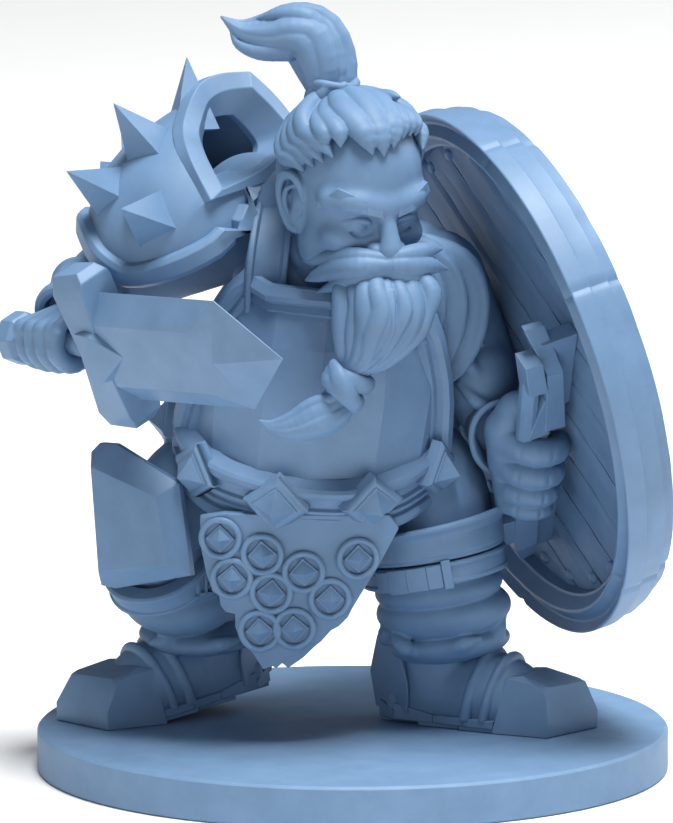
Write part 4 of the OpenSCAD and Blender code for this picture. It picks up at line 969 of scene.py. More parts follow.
def sculpt_right_arm():
    """A full sleeve, bunched at the elbow, with the round of the shoulder filling the guard's mouth."""
    low, high = node_box("right_arm")
    clay = Clay(low - 0.4, high + (1.2, 0.5, 1.2), 0.07)
    clay.add(lock([[-4.1, 0.1, 22.1, 2.3], [-8.7, 2.6, 19.7, 1.8], [-10.5, 2.5, 18.6, 1.3]], steps=4), 0.2)
    clay.add(egg(Pose((-3.75, -0.35, 22.9), (0.3, -0.2, 0.9)), (2.0, 2.0, 1.75)), 0.3)
    for t, r in ((0.35, 0.3), (0.55, 0.36), (0.75, 0.3)):
        c = vec(-8.7, 2.6, 19.7) * (1 - t) + vec(-10.5, 2.5, 18.6) * t
        ring = [list(c + (0.1 * math.cos(a), -1.6 * math.cos(a), 1.5 * math.sin(a))) + [r]
                for a in np.linspace(0, 2 * math.pi, 13)]
        clay.add(lock(ring, steps=2), 0.15)
    return clay.piece("right_sleeve_cast")


def sculpt_left_arm():
    """A loose sleeve that swells over the elbow and gathers into the cuff."""
    low, high = node_box("left_arm")
    clay = Clay(low - 0.4, high + 0.4, 0.06)
    clay.add(lock([[3.2, 0.0, 19.5, 2.1], [4.3, 0.9, 17.3, 1.75], [4.95, 1.1, 15.8, 1.55], [5.2, 0.6, 14.7, 1.35],
                   [5.5, 0.0, 13.9, 1.1]]), 0.2)
    clay.add(egg(Pose((4.9, 0.2, 15.6), (0.3, -0.3, 1)), (1.5, 1.5, 1.7)), 0.25)
    for points in ([[3.9, -1.2, 17.2, 0.12], [4.5, -1.25, 16.5, 0.3], [5.2, -0.9, 15.6, 0.12]],
                   [[4.2, -1.15, 15.6, 0.1], [4.9, -1.35, 14.9, 0.28], [5.7, -1.1, 14.5, 0.1]],
                   [[3.4, -1.6, 18.5, 0.12], [4.3, -1.7, 17.9, 0.3], [5.1, -1.1, 17.2, 0.12]]):
        clay.add(lock(points), 0.2)
    return clay.piece("left_sleeve_cast")


def sculpt_mantle():
    """A heavy cloth round the neck and shoulder, lying in three flat folds, each thrown over the next."""
    low, high = node_box("left_mantle")
    clay = Clay(low - 0.7, high + 0.4, 0.055)
    for k in range(3):
        out = 0.85 * k
        fold = [[1.3 + 0.5 * out, -2.7 + 0.3 * k, 21.7 - 0.1 * k, 0.5],
                [2.4 + out, -2.9 + 0.35 * k, 20.9 - 0.1 * k, 0.62],
                [3.05 + out, -2.8 + 0.4 * k, 19.4, 0.62], [2.9 + out, -2.5 + 0.4 * k, 17.9 - 0.1 * k, 0.6],
                [2.35 + 0.85 * out, -2.1 + 0.4 * k, 16.6 - 0.2 * k, 0.5], [1.7 + 0.6 * out, -1.8 + 0.4 * k, 15.6, 0.3]]
        clay.add(lock(fold, thin=((0.15, 1.0, 0.1), 1.3)), 0.02)
        clay.add(lock([[f[0] + 0.42, f[1] - 0.26, f[2], 0.2] for f in fold]), 0.04)
    clay.add(lock([[1.6, 0.6, 21.2, 0.9], [3.0, 0.2, 20.6, 1.1], [3.9, 0.2, 19.2, 0.9], [3.3, 0.2, 17.2, 0.8]]), 0.3)
    return clay.piece("mantle_cast")


# ---------- base ----------

def make_base():
    """A plain round base: an upright side and a small chamfer above."""
    high = node_box("base_disc")[1]
    r, h = high[0], high[2]
    pose = Pose((0, 0, 0), (0, 0, 1))
    profile = [(0.0, 0.0), (r - 0.1, 0.0), (r, 0.1), (r, h - 0.12), (r - 0.12, h), (0.0, h)]
    return lathed("base_cast", pose, profile, count=256, bevel=0.03)


# ---------- belt, studs and apron ----------

belt_low, belt_high = node_box("belt")
BELT_R = (belt_high[0] - belt_low[0]) / 2 - 0.55
WAIST = Pose(vec((belt_low[0] + belt_high[0]) / 2, 0, (belt_low[2] + belt_high[2]) / 2 + 0.3), (0.06, -0.38, 0.92))


def make_belt():
    """A raised cord on the upper edge, a sunk flat band, two thin ridges and a rounded lower roll."""
    r = BELT_R
    profile = [(r - 0.5, -1.15), (r + 0.2, -1.15), (r + 0.42, -1.08), (r + 0.55, -0.9), (r + 0.56, -0.74),
               (r + 0.44, -0.58), (r + 0.24, -0.54), (r + 0.24, -0.4), (r + 0.4, -0.36), (r + 0.42, -0.22),
               (r + 0.26, -0.16), (r + 0.26, -0.04), (r + 0.4, 0.0), (r + 0.4, 0.14), (r + 0.22, 0.2),
               (r + 0.2, 0.62), (r + 0.36, 0.66), (r + 0.42, 0.8), (r + 0.4, 0.98), (r + 0.26, 1.1), (r - 0.5, 1.15)]

    def uneven(a, rad, z):
        return rad + 0.03 * math.sin(5 * a + 1.0) + 0.02 * math.sin(13 * a), z + 0.04 * math.sin(3 * a + z)
    return lathed("belt_cast", WAIST, profile, count=192, bevel=0.035, turn=uneven)


def stud_poses():
    out = []
    for k in range(9):
        a = math.radians(-24 - 40 * k)
        way = WAIST.way(math.cos(a), math.sin(a), 0)
        foot = WAIST((BELT_R + 0.35) * math.cos(a), (BELT_R + 0.35) * math.sin(a), 0.35)
        out.append((Pose(foot, way, WAIST.c), 1.0))
    return out


def make_stud_plates():
    """Square plates set on their corners: a bevelled body with a raised frame round a sunk field."""
    sizes = {"Body foot": 1.34, "Body top": 1.34, "Body height": 0.42, "Body lift": -0.32,
             "Bevel foot": 1.34, "Bevel top": 1.12, "Bevel height": 0.16, "Bevel lift": 0.10,
             "Field foot": 0.95, "Field top": 0.9, "Field height": 0.1, "Field lift": 0.24}
    o = set_along("stud_plates", stud_poses(), lambda t, g: stack(t, g, [
        (4, "Body foot", "Body top", "Body height", "Body lift"),
        (4, "Bevel foot", "Bevel top", "Bevel height", "Bevel lift"),
        (4, "Field foot", "Field top", "Field height", "Field lift")]), sizes)
    return crisp(o, 0.04)


def make_stud_gems():
    """A four-sided point on every stud."""
    sizes = {"Foot": 0.84, "Tip": 0.015, "Height": 0.66, "Lift": 0.32}
    return crisp(set_along("stud_gems", stud_poses(), lambda t, g: stack(t, g, [
        (4, "Foot", "Tip", "Height", "Lift")]), sizes), 0.02)


apron_low = node_box("apron")[0]
APRON = Pose(vec(0, apron_low[1] + 0.05, 10.5), (0, -math.cos(math.radians(4)), -math.sin(math.radians(4))))


def on_apron(x, z, lift=0.0):
    """A place on the apron's face: it bellies out a little at its middle and its edges turn back."""
    belly = 0.25 - 0.05 * (x + 2.0) ** 2 * (0.5 if x < -2 else 0.75)
    return APRON(x, z - 10.5, lift + max(belly, -0.9))


def make_apron():
    """Thick hide with a cut, ragged hem."""
    hem = [(-6.0, 10.9), (-5.95, 9.6), (-5.75, 8.6), (-5.5, 7.9), (-5.25, 7.75), (-5.2, 7.35), (-5.0, 7.1),
           (-4.62, 7.02),
           (-4.62, 6.5), (-4.5, 6.2), (-4.2, 5.8), (-4.0, 5.55), (-3.5, 4.8), (-3.2, 4.95), (-3.0, 4.86), (-2.78, 5.07),
           (-2.55, 4.87), (-2.2, 5.12), (-1.95, 5.3), (-1.5, 5.75), (-1.25, 5.95), (-0.85, 6.4), (-0.55, 6.55),
           (-0.2, 6.9), (0.0, 7.3), (0.3, 7.8), (0.7, 8.45), (1.1, 9.1), (1.8, 10.4), (1.4, 11.0), (-1.7, 11.1),
           (-5.0, 11.1)]

    def belly(x, y, z):
        p = on_apron(x, y + 10.5, z)
        return APRON.local(p)
    return plate("apron_cast", APRON, [(x, z - 10.5) for x, z in hem], -0.5, 0.0, bevel=0.09, bend=belly)


RING_SPOTS = [(-5.2, 10.1), (-3.55, 9.5), (-1.93, 8.8), (0.2, 9.3), (-4.75, 8.5), (-3.2, 7.95), (-0.9, 7.7),
              (-3.65, 6.4), (-2.3, 6.5)]


def ring_poses(lift):
    out = []
    for k, (x, z) in enumerate(RING_SPOTS):
        here, right, up = on_apron(x, z, lift), on_apron(x + 0.3, z, lift), on_apron(x, z + 0.3, lift)
        out.append((Pose(here, np.cross(right - here, up - here), right - here + 0.1 * math.sin(k) * (up - here)), 1.0))
    return out


def make_apron_rings():
    sizes = {"Ring radius": 0.74, "Ring thickness": 0.13}
    o = set_along("apron_rings_set", ring_poses(0.08),
                  lambda t, g: ring_of(t, g, "Ring radius", "Ring thickness"), sizes)
    o.data.polygons.foreach_set("use_smooth", [True] * len(o.data.polygons))
    return o


def make_apron_gems():
    """In each ring a square point on a low square step."""
    sizes = {"Step foot": 0.6, "Step top": 0.56, "Step height": 0.16, "Step lift": -0.02,
             "Foot": 0.46, "Tip": 0.01, "Height": 0.36, "Lift": 0.18}
    return crisp(set_along("apron_gems_set", ring_poses(0.0), lambda t, g: stack(t, g, [
        (4, "Step foot", "Step top", "Step height", "Step lift"), (4, "Foot", "Tip", "Height", "Lift")]), sizes), 0.015)


# ---------- breastplate and back plate ----------

TRUNK = ((11.6, 4.9, 4.85, 0.25), (13.2, 5.1, 5.1, 0.25), (15.4, 5.25, 5.3, 0.15), (17.6, 5.0, 5.2, 0.0),
         (19.4, 4.75, 4.9, 0.1), (21.0, 4.3, 4.3, 0.3))
RIDGES = (-195, -166, -141, -115, -91, -62, -36, -12, 15)
BACK_RIDGES = (-12, 15, 38, 64, 90, 116, 142, 165, 194)


def trunk_point(angle, z, out=0.0, ridges=RIDGES):
    """A place on the trunk's armour: flat panels between upright ridges."""
    heights = [t[0] for t in TRUNK]
    half_x, half_y, back = (np.interp(z, heights, [t[k] for t in TRUNK]) for k in (1, 2, 3))
    middle_x = (belt_low[0] + belt_high[0]) / 2 + 0.11 * (z - heights[0])

    def corner(deg):
        a = math.radians(deg)
        return vec(middle_x + (half_x + out) * math.cos(a), back + (half_y + out) * math.sin(a), z)
    for r0, r1 in zip(ridges[:-1], ridges[1:]):
        if r0 <= angle <= r1:
            t = (angle - r0) / (r1 - r0)
            return (1 - t) * corner(r0) + t * corner(r1)
    return corner(angle)


def edge_height(outline, angle):
    return np.interp(angle, [a for a, _ in outline], [z for _, z in outline])


def panelled(name, outline, ridges, floor, out, thickness):
    """Armour sheet cut to an outline of (angle, height) and folded at its ridges."""
    stops = sorted({a for a, _ in outline} | {r for r in ridges if outline[0][0] < r < outline[-1][0]})
    rows = 7
    bm = bmesh.new()
    skins = []
    for depth in (out, out - thickness):
        grid = []
        for a in stops:
            top = edge_height(outline, a)
            grid.append([bm.verts.new(Vector(trunk_point(a, floor + (top - floor) * k / rows, depth, ridges)) * MM)
                         for k in range(rows + 1)])
        skins.append(grid)
    outer, inner = skins
    n = len(stops)
    for i in range(n - 1):
        for k in range(rows):
            bm.faces.new((outer[i][k], outer[i + 1][k], outer[i + 1][k + 1], outer[i][k + 1]))
            bm.faces.new((inner[i][k], inner[i][k + 1], inner[i + 1][k + 1], inner[i + 1][k]))
        for k in (0, rows):
            bm.faces.new((outer[i][k], inner[i][k], inner[i + 1][k], outer[i + 1][k]))
    for i in (0, n - 1):
        for k in range(rows):
            bm.faces.new((outer[i][k], outer[i][k + 1], inner[i][k + 1], inner[i][k]))
    bmesh.ops.recalc_face_normals(bm, faces=bm.faces)
    mesh = bpy.data.meshes.new(name)
    bm.to_mesh(mesh)
    bm.free()
    o = bpy.data.objects.new(name, mesh)
    bpy.context.scene.collection.objects.link(o)
    return bevelled(o, 0.1, segments=3, angle=6)


def banded(name, line, normals, inwards, profile, closed=False, bevel=0.05):
    """A raised band along a line of points. profile is (inwards, out) in mm; inwards points to the sheet's middle."""
    rings = [[p + w * s + n * h for s, h in profile] for p, n, w in zip(line, normals, inwards)]
    return swept(name, rings, closed=closed, bevel=bevel, angle=20)


BAND = ((-0.02, -0.25), (-0.06, 0.38), (0.1, 0.58), (0.52, 0.58), (0.68, 0.38), (0.7, 0.12), (0.96, 0.1), (1.0, -0.25))


def outline_band(name, outline, ridges, profile=BAND):
    """The raised band round a panelled sheet's edge, mitred at its corners."""
    stops = []
    for (a0, z0), (a1, z1) in zip(outline[:-1], outline[1:]):
        steps = 3
        stops += [(a0 + (a1 - a0) * k / steps, z0 + (z1 - z0) * k / steps) for k in range(steps)]
    stops.append(outline[-1])
    line = [trunk_point(a, z, 0.1, ridges) for a, z in stops]
    normals, inwards = [], []
    for i, (a, z) in enumerate(stops):
        side = trunk_point(a + 4, z, 0.1, ridges) - trunk_point(a - 4, z, 0.1, ridges)
        up = trunk_point(a, z + 0.3, 0.1, ridges) - trunk_point(a, z - 0.3, 0.1, ridges)
        n = unit(np.cross(side, up))
        before = unit(line[i] - line[i - 1]) if i else None
        after = unit(line[i + 1] - line[i]) if i < len(line) - 1 else None
        w0 = unit(np.cross(before, n)) if before is not None else None
        w1 = unit(np.cross(after, n)) if after is not None else None
        if w0 is None or w1 is None:
            w = w1 if w0 is None else w0
        else:
            w = unit(w0 + w1)
            w = w / max(w @ w0, 0.5)
        normals.append(n)
        inwards.append(w)
    return banded(name, line, normals, inwards, profile)


BREAST_EDGE = [(-172, 12.6), (-163, 15.5), (-153, 18.6), (-136, 20.4), (-118, 19.95), (-91, 19.82), (-62, 19.7),
               (-38, 18.75), (-26, 16.2), (-15, 13.0)]
BACK_EDGE = [(8, 12.6), (20, 16.2), (42, 18.9), (66, 19.7), (90, 19.9), (114, 19.7), (140, 18.9), (160, 16.2),
             (172, 12.6)]


def make_breastplate():
    return panelled("breastplate_cast", BREAST_EDGE, RIDGES, 12.0, 0.1, 0.6)


def make_breast_band():
    return outline_band("breast_band", BREAST_EDGE, RIDGES)


def make_back_plate():
    sheet = panelled("back_sheet", BACK_EDGE, BACK_RIDGES, 12.4, 0.1, 0.6)
    return joined("back_plate_cast", [sheet, outline_band("back_band", BACK_EDGE, BACK_RIDGES)])


def make_shoulder_strap():
    """A flat strap with a raised cord along both edges, over the collar bone and down behind the plate."""
    low, high = node_box("shoulder_strap")
    x = low[0] + 0.78
    line = smooth_path([(x, low[1] + 1.9, low[2] - 0.2), (x + 0.05, low[1] + 1.5, low[2] + 1.2),
                        (x + 0.2, low[1] + 1.6, low[2] + 2.4), (x + 0.45, low[1] + 2.9, high[2] - 0.45),
                        (x + 0.6, high[1] - 0.1, high[2] - 0.2)], 6)
    side = vec(1, 0.1, 0)
    rings = []
    for i, p in enumerate(line):
        d = unit(line[min(i + 1, len(line) - 1)] - line[max(i - 1, 0)])
        n = unit(np.cross(side, d))
        n = n if n[1] < 0.3 else -n
        rings.append([p + side * s + n * h for s, h in (
            (-0.82, -0.3), (-0.82, 0.22), (-0.76, 0.3), (-0.6, 0.3), (-0.54, 0.2), (-0.5, 0.1), (0.5, 0.1),
            (0.54, 0.2), (0.6, 0.3), (0.76, 0.3), (0.82, 0.22), (0.82, -0.3))])
    return swept("strap_cast", rings, bevel=0.03, angle=20)


# ---------- shoulder guard ----------

guard_low, guard_high = node_box("pauldron_shell")
GUARD_R = 3.9
SHOULDER = vec(guard_low[0] + 3.89, guard_low[1] + GUARD_R, guard_high[2] - GUARD_R)

# Four runs from the neck round the front, side and back: the cap's lower edge as directions from the
# shoulder, and its mouth as offsets from the shoulder.
RIM_RUNS = [
    [(0.79, 0.05, 0.61), (0.75, -0.25, 0.61), (0.61, -0.68, 0.41), (0.42, -0.9, 0.07), (0.1, -0.99, -0.13),
     (-0.35, -0.88, -0.3), (-0.58, -0.75, -0.34)],
    [(-0.58, -0.75, -0.34), (-0.83, -0.52, -0.2), (-0.97, -0.2, 0.02), (-0.97, 0.25, 0.05)],
    [(-0.97, 0.25, 0.05), (-0.75, 0.65, -0.12), (-0.3, 0.95, -0.15), (0.2, 0.97, -0.05)],
    [(0.2, 0.97, -0.05), (0.6, 0.78, 0.15), (0.8, 0.4, 0.45), (0.79, 0.05, 0.61)],
]
MOUTH_RUNS = [
    [(3.7, -0.5, 2.9), (2.9, -1.9, 2.55), (1.05, -3.55, 2.05)],
    [(1.05, -3.55, 2.05), (0.3, -2.6, 3.4), (0.0, -1.2, 4.3), (0.25, 0.2, 5.1)],
    [(0.25, 0.2, 5.1), (0.6, 0.9, 5.6), (1.3, 1.2, 5.9), (2.4, 1.2, 6.0)],
    [(2.4, 1.2, 6.0), (3.4, 1.3, 5.0), (4.3, 1.0, 3.8), (4.2, 0.2, 3.1), (3.7, -0.5, 2.9)],
]
CREST_WAY = unit((0.72, -0.62, 0.30))


def run_points(run, count):
    path = smooth_path(run, 12)
    gaps = np.r_[0, np.cumsum(np.linalg.norm(np.diff(path, axis=0), axis=1))]
    want = np.linspace(0, gaps[-1], count, endpoint=False)
    return np.stack([np.interp(want, gaps, path[:, k]) for k in range(3)], 1)


def guard_loops(count=14):
    rim = np.concatenate([run_points(r, count) for r in RIM_RUNS])
    mouth = np.concatenate([run_points(r, count) for r in MOUTH_RUNS])
    return rim / np.linalg.norm(rim, axis=1)[:, None], mouth


def cap_point(rim_dir, mouth, t, out=0.0):
    m = np.linalg.norm(mouth)
    d = unit((1 - t) * rim_dir + t * mouth / m)
    return SHOULDER + d * (GUARD_R + (m - GUARD_R) * t ** 2.2 + out)


def make_cap():
    """The spiked cap: a round shell that sweeps up into the neck guard."""
    rim, mouth = guard_loops()
    rows = [[cap_point(r, m, t) for r, m in zip(rim, mouth)] for t in np.linspace(0, 1, 14)]
    inner = [[cap_point(r, m, t, -0.45) for r, m in zip(rim, mouth)] for t in np.linspace(1, 0, 14)]
    return swept("cap_cast", rows + inner, closed=True, bevel=None, angle=40)


def loop_frames(points, outs):
    """Mitred inward ways for a closed loop whose outward ways are known."""
    n = len(points)
    ways = []
    for i in range(n):
        d0, d1 = unit(points[i] - points[i - 1]), unit(points[(i + 1) % n] - points[i])
        w0, w1 = unit(np.cross(outs[i], d0)), unit(np.cross(outs[i], d1))
        w = unit(w0 + w1)
        ways.append(w / max(w @ w0, 0.6))
    return ways


def make_cap_rim():
    """A broad flat band with bevelled edges round the cap's foot."""
    rim, mouth = guard_loops()
    line = [cap_point(r, m, 0.0) for r, m in zip(rim, mouth)]
    outs = [unit(p - SHOULDER) for p in line]
    ways = loop_frames(line, outs)
    toward = [cap_point(r, m, 0.1) - cap_point(r, m, 0.0) for r, m in zip(rim, mouth)]
    ways = [w if w @ t > 0 else -w for w, t in zip(ways, toward)]
    profile = ((-0.15, -0.5), (-0.38, -0.38), (-0.32, 0.12), (-0.08, 0.42), (0.52, 0.42), (0.72, 0.26), (0.74, -0.3))
    return banded("cap_rim", line, outs, ways, profile, closed=True)


def make_crest():
    """The neck guard: a flat top edge, a low outer wall, and a deep funnel down to the shoulder."""
    mouth = guard_loops()[1]
    centre = mouth.mean(0) + (0.55, 0.1, -0.35)
    rings = []
    for m in mouth:
        out = m - centre
        out = unit(out - (out @ CREST_WAY) * CREST_WAY)
        top = SHOULDER + m
        inner = top - 0.42 * out + 0.1 * CREST_WAY
        deep = SHOULDER + centre + 0.5 * (m - centre) - 0.75 * CREST_WAY
        rings.append([top - 0.42 * CREST_WAY - 0.15 * out, top + 0.3 * out - 0.4 * CREST_WAY,
                      top + 0.3 * out + 0.2 * CREST_WAY, inner + 0.28 * CREST_WAY,
                      deep, deep - 0.4 * CREST_WAY + 0.1 * out])
    return swept("crest_cast", rings, closed=True, bevel=0.05, angle=24)


SPIKES = [((0.25, 0.9, 4.2), (-0.2, 0.6, 2.75)), ((-1.29, -0.9, 3.45), (-1.53, -0.95, 2.1)),
          ((-2.8, -1.3, 1.85), (-1.6, -1.45, 1.0)), ((-1.35, -3.4, 1.2), (-1.1, -2.35, 0.75)),
          ((-2.4, 2.3, 1.4), (-0.8, 1.9, 0.6)), ((-1.6, 2.7, 2.2), (-1.0, 1.9, 1.6))]


def make_spikes():
    """Four-sided spikes standing on the cap."""
    places = []
    for foot, way in SPIKES:
        way = unit(way)
        places.append((Pose(SHOULDER + vec(*foot) - 0.25 * way, way, (0.3, 0, 1)), 1.0))
    sizes = {"Foot": 1.28, "Tip": 0.02, "Height": 2.95, "Lift": 0.0}
    return crisp(set_along("cap_spikes", places, lambda t, g: stack(t, g, [
        (4, "Foot", "Tip", "Height", "Lift")]), sizes), 0.03)


# ---------- knee guard ----------

def make_knee_guard():
    """A heavy plate, flat in the middle, with broad bevels at its top, side and foot."""
    low, high = node_box("right_knee_guard")
    pose = Pose((low + high) / 2 + (-0.28, -0.31, -0.02), (-0.32, -0.93, 0.12))
    front = [(-2.0, 1.95), (0.71, 0.8), (1.22, -1.88), (-1.68, -2.2)]
    edge = [(-2.22, 2.5), (-1.85, 2.87), (-1.18, 2.83), (1.45, 1.32), (1.95, -2.31), (-1.22, -2.87), (-1.8, -2.76)]
    solid = [pose(x, y, 0.4) for x, y in front]
    solid += [pose(x, y, z) for x, y in edge for z in (-0.3, -0.8)]
    return faceted("knee_guard_cast", [solid], bevel=0.04, segments=2)


# ---------- sword ----------

blade_low, blade_high = node_box("sword_blade")
BLADE_WAY, EDGE_WAY = unit((0.632, -0.773, 0.082)), unit((0.339, 0.179, -0.924))
BLADE_LONG = 11.0
POINT = vec(blade_high[0] - 0.03, blade_low[1] + 0.03, 18.4)
SWORD = Pose(POINT - BLADE_LONG * BLADE_WAY, BLADE_WAY, EDGE_WAY)


def make_blade():
    """Broad short blade: wide ground edges, a flat middle that closes to a ridge, and a diamond point."""
    half, flat, t = 2.4, 1.35, 0.85
    body = []
    for s in (1, -1):
        body += [SWORD(flat, s * t, 0.2), SWORD(-flat, s * t, 0.2), SWORD(flat, s * t, 6.75),
                 SWORD(-flat, s * t, 6.75), SWORD(0, s * t, 7.55)]
    body += [SWORD(half, 0, 0.2), SWORD(-half, 0, 0.2), SWORD(half, 0, 8.0), SWORD(-half, 0, 8.0)]
    tip = [SWORD(half, 0.03 * s, 7.98) for s in (1, -1)] + [SWORD(-half, 0.03 * s, 7.98) for s in (1, -1)]
    tip += [SWORD(0, s * t * 0.98, 7.5) for s in (1, -1)] + [SWORD(0, s * 0.4, 8.3) for s in (1, -1)]
    tip += [SWORD(0, 0.02 * s, BLADE_LONG) for s in (1, -1)]
    return faceted("blade_cast", [body, tip], bevel=0.03, segments=2)


def make_guard():
    """Thick bar with cut ends, waisted at its middle, with a pointed tongue on each face of the blade."""
    solids = []
    for s in (1, -1):
        solids.append([SWORD(s * x, y, z) for x, y, z in (
            (-0.1, 0.98, -0.55), (-0.1, -0.98, -0.55), (-0.1, 0.98, 0.75), (-0.1, -0.98, 0.75),
            (2.6, 0.92, -0.95), (2.6, -0.92, -0.95), (2.75, 0.85, 0.85), (2.75, -0.85, 0.85),
            (3.3, 0.62, -0.95), (3.3, -0.62, -0.95), (3.45, 0.5, 0.55), (3.45, -0.5, 0.55),
            (3.1, 0.72, 0.88), (3.1, -0.72, 0.88))])
        solids.append([SWORD(x, s * y, z) for x, y, z in (
            (-1.15, 0.8, 0.3), (1.15, 0.8, 0.3), (-1.15, 1.25, -0.1), (1.15, 1.25, -0.1), (-1.15, 0.62, 0.85),
            (1.15, 0.62, 0.85), (0.0, 0.62, 2.15), (0.0, 0.85, 2.0), (-1.0, 1.2, 0.6), (1.0, 1.2, 0.6))])
    return faceted("guard_cast", solids, bevel=0.06, segments=2)


def make_grip():
    """A rod wound with a thong."""
    rings = []
    turns, n = 9, 24
    for i in range(turns * 8 + 1):
        z = -5.15 + 5.1 * i / (turns * 8)
        r = 0.5 + 0.05 * abs(math.sin(math.pi * i / 8))
        rings.append([SWORD(r * math.cos(2 * math.pi * j / n), r * math.sin(2 * math.pi * j / n),
                            z + 0.12 * math.sin(2 * math.pi * j / n)) for j in range(n)])
    return swept("grip_cast", rings, angle=40)


def make_pommel():
    """An eight-sided knob with a raised flat end."""
    def ring(r, z, turn=22.5):
        return [SWORD(r * math.cos(math.radians(45 * k + turn)), r * math.sin(math.radians(45 * k + turn)), z)
                for k in range(8)]
    return faceted("pommel_cast", [ring(0.6, -4.55) + ring(1.08, -5.1) + ring(1.08, -5.75) + ring(0.72, -6.2),
                                   ring(0.5, -6.0) + ring(0.45, -6.33)], bevel=0.05)


# ---------- hands ----------

def fist_about(clay, pose, wrist, fingers, thumb, bar, back):
    """A closed fist round a bar along the pose's c axis. Each finger is (place along the bar, radius,
    angles from knuckle to tip); angles go round the bar from the a axis."""
    for at, r, turns in fingers:
        path = []
        for k, deg in enumerate(turns):
            reach = bar + r * (1.0 if k else 1.15)
            a = math.radians(deg)
            path.append(list(pose(reach * math.cos(a), reach * math.sin(a), at)) + [r * (1.08, 1.0, 1.04, 0.96,
                                                            0.88)[k]])
        clay.add(lock(path, steps=3), 0.03)
        # creases over the two finger joints
        for k in (1, 2):
            a = math.radians((turns[k] + turns[k + 1]) / 2)
            far = bar + 2.0 * r
            clay.cut(lock([list(pose(far * math.cos(a), far * math.sin(a), at - 0.6 * r)) + [0.035],
                           list(pose(far * math.cos(a), far * math.sin(a), at + 0.6 * r)) + [0.035]]), 0.1)
    for part in back:
        clay.add(part, 0.22)
    clay.add(lock(thumb, steps=3), 0.1)
    clay.add(lock(wrist, steps=3), 0.3)
    return clay


def sculpt_right_hand():
    """The hand round the sword's grip, its back turned up and out."""
    low, high = node_box("right_hand")
    grip = Pose(SWORD(0, 0, -3.2), BLADE_WAY, (0, 0, 1))
    clay = Clay(low - 0.9, high + (0.7, 1.6, 0.8), 0.05)
    fingers = [(-1.05 + 0.68 * k, (0.34, 0.38, 0.39, 0.38)[k], (62, 115, 168, 225, 285)) for k in range(4)]
    wrist_at = middle("right_bracer")
    back = []
    for k in range(4):
        at = -1.05 + 0.68 * k
        knuckle = list(grip(0.55, 0.78, at)) + [0.4]
        end = list(0.45 * grip(0.8, -0.6, at * 0.5) + 0.55 * wrist_at) + [0.5]
        back.append(lock([knuckle, end]))
    thumb = [list(grip(0.1, -0.9, 1.1)) + [0.45], list(grip(0.85, -0.35, 1.35)) + [0.4],
             list(grip(1.0, 0.35, 1.4)) + [0.33], list(grip(0.7, 0.9, 1.35)) + [0.25]]
    wrist = [list(grip(0.15, -0.55, 0.0)) + [0.85], list(wrist_at + (0, -0.3, 0)) + [0.85]]
    fist_about(clay, grip, wrist, fingers, thumb, 0.5, back)
    clay.cut(lock([list(grip(0, 0, -4)) + [0.48], list(grip(0, 0, 4)) + [0.48]]), 0)
    return clay.piece("right_hand_cast")


BAR_WAY = unit((-0.068, 0.647, -0.760))
SHIELD_WAY = unit((0.886, 0.389, 0.252))
hand_low, hand_high = node_box("left_hand")
FIST = vec(hand_low[0] + 1.59, hand_low[1] + 1.22, hand_low[2] + 2.34)


def sculpt_left_hand():
    """The hand round the shield's handle: four stacked fingers and the thumb laid over the bar."""
    bar = Pose(FIST + (-0.05, 0.1, 0), (-0.12, 0.22, -0.97), (1, 0, 0))
    clay = Clay(hand_low - (0.8, 0.8, 1.0), hand_high + (1.1, 1.2, 0.6), 0.05)
    rows = ((-0.2, 0.56), (0.84, 0.52), (1.72, 0.45), (2.4, 0.37))
    fingers = [(at, r, (188, 140, 88, 36, -18)) for at, r in rows]
    wrist_at = middle("left_cuff")
    back = [lock([list(bar(-0.85, 0.15, at)) + [0.42], list(0.6 * bar(-0.9, 0.6, 0.6 * at) + 0.4 * wrist_at) + [0.5]])
            for at, r in rows]
    thumb = [list(bar(-1.15, -0.3, -0.7)) + [0.75], list(bar(-1.0, 0.1, -1.6)) + [0.66],
             list(bar(-0.6, 0.45, -2.0)) + [0.55], list(bar(-0.15, 0.6, -2.15)) + [0.4]]
    wrist = [list(bar(-0.9, -0.1, 0.6)) + [0.85], list(bar(-1.2, -0.2, -0.4)) + [0.85],
             list(wrist_at + (0.1, -0.1, 0)) + [0.8]]
    fist_about(clay, bar, wrist, fingers, thumb, 0.42, back)
    return clay.piece("left_hand_cast")


def cuff_ring(name, pose, profile, wave):
    def uneven(a, r, z):
        return r + wave * math.sin(3 * a + 0.6), z + 0.6 * wave * math.sin(2 * a)
    return lathed(name, pose, profile, count=96, bevel=0.03, turn=uneven)


def make_bracer():
    """A leather forearm guard: flared at the wrist, with a rolled band at each end."""
    c = middle("right_bracer")
    pose = Pose(c, (-0.35, -0.85, -0.35))
    return cuff_ring("bracer_cast", pose, [
        (0.5, -1.25), (1.5, -1.25), (1.62, -1.15), (1.64, -0.95), (1.55, -0.82), (1.5, -0.7), (1.46, 0.0),
        (1.4, 0.55), (1.5, 0.62), (1.56, 0.75), (1.56, 0.98), (1.48, 1.12), (1.3, 1.18), (1.12, 1.1), (1.05, 0.7),
        (0.5, 0.5)], 0.04)


def make_cuff():
    """The sleeve's end: an open bell with a rolled rim, round a bare wrist."""
    c = middle("left_cuff")
    pose = Pose(c + (-0.15, 0.2, 0.05), (0.42, -0.88, -0.18))
    return cuff_ring("cuff_cast", pose, [
        (0.5, -0.8), (1.05, -0.9), (1.12, -0.5), (1.22, 0.0), (1.42, 0.45), (1.58, 0.75), (1.62, 0.88),
        (1.56, 0.98), (1.44, 0.98), (1.32, 0.85), (1.12, 0.5), (0.95, 0.1), (0.5, 0.0)], 0.05)


# ---------- shield ----------

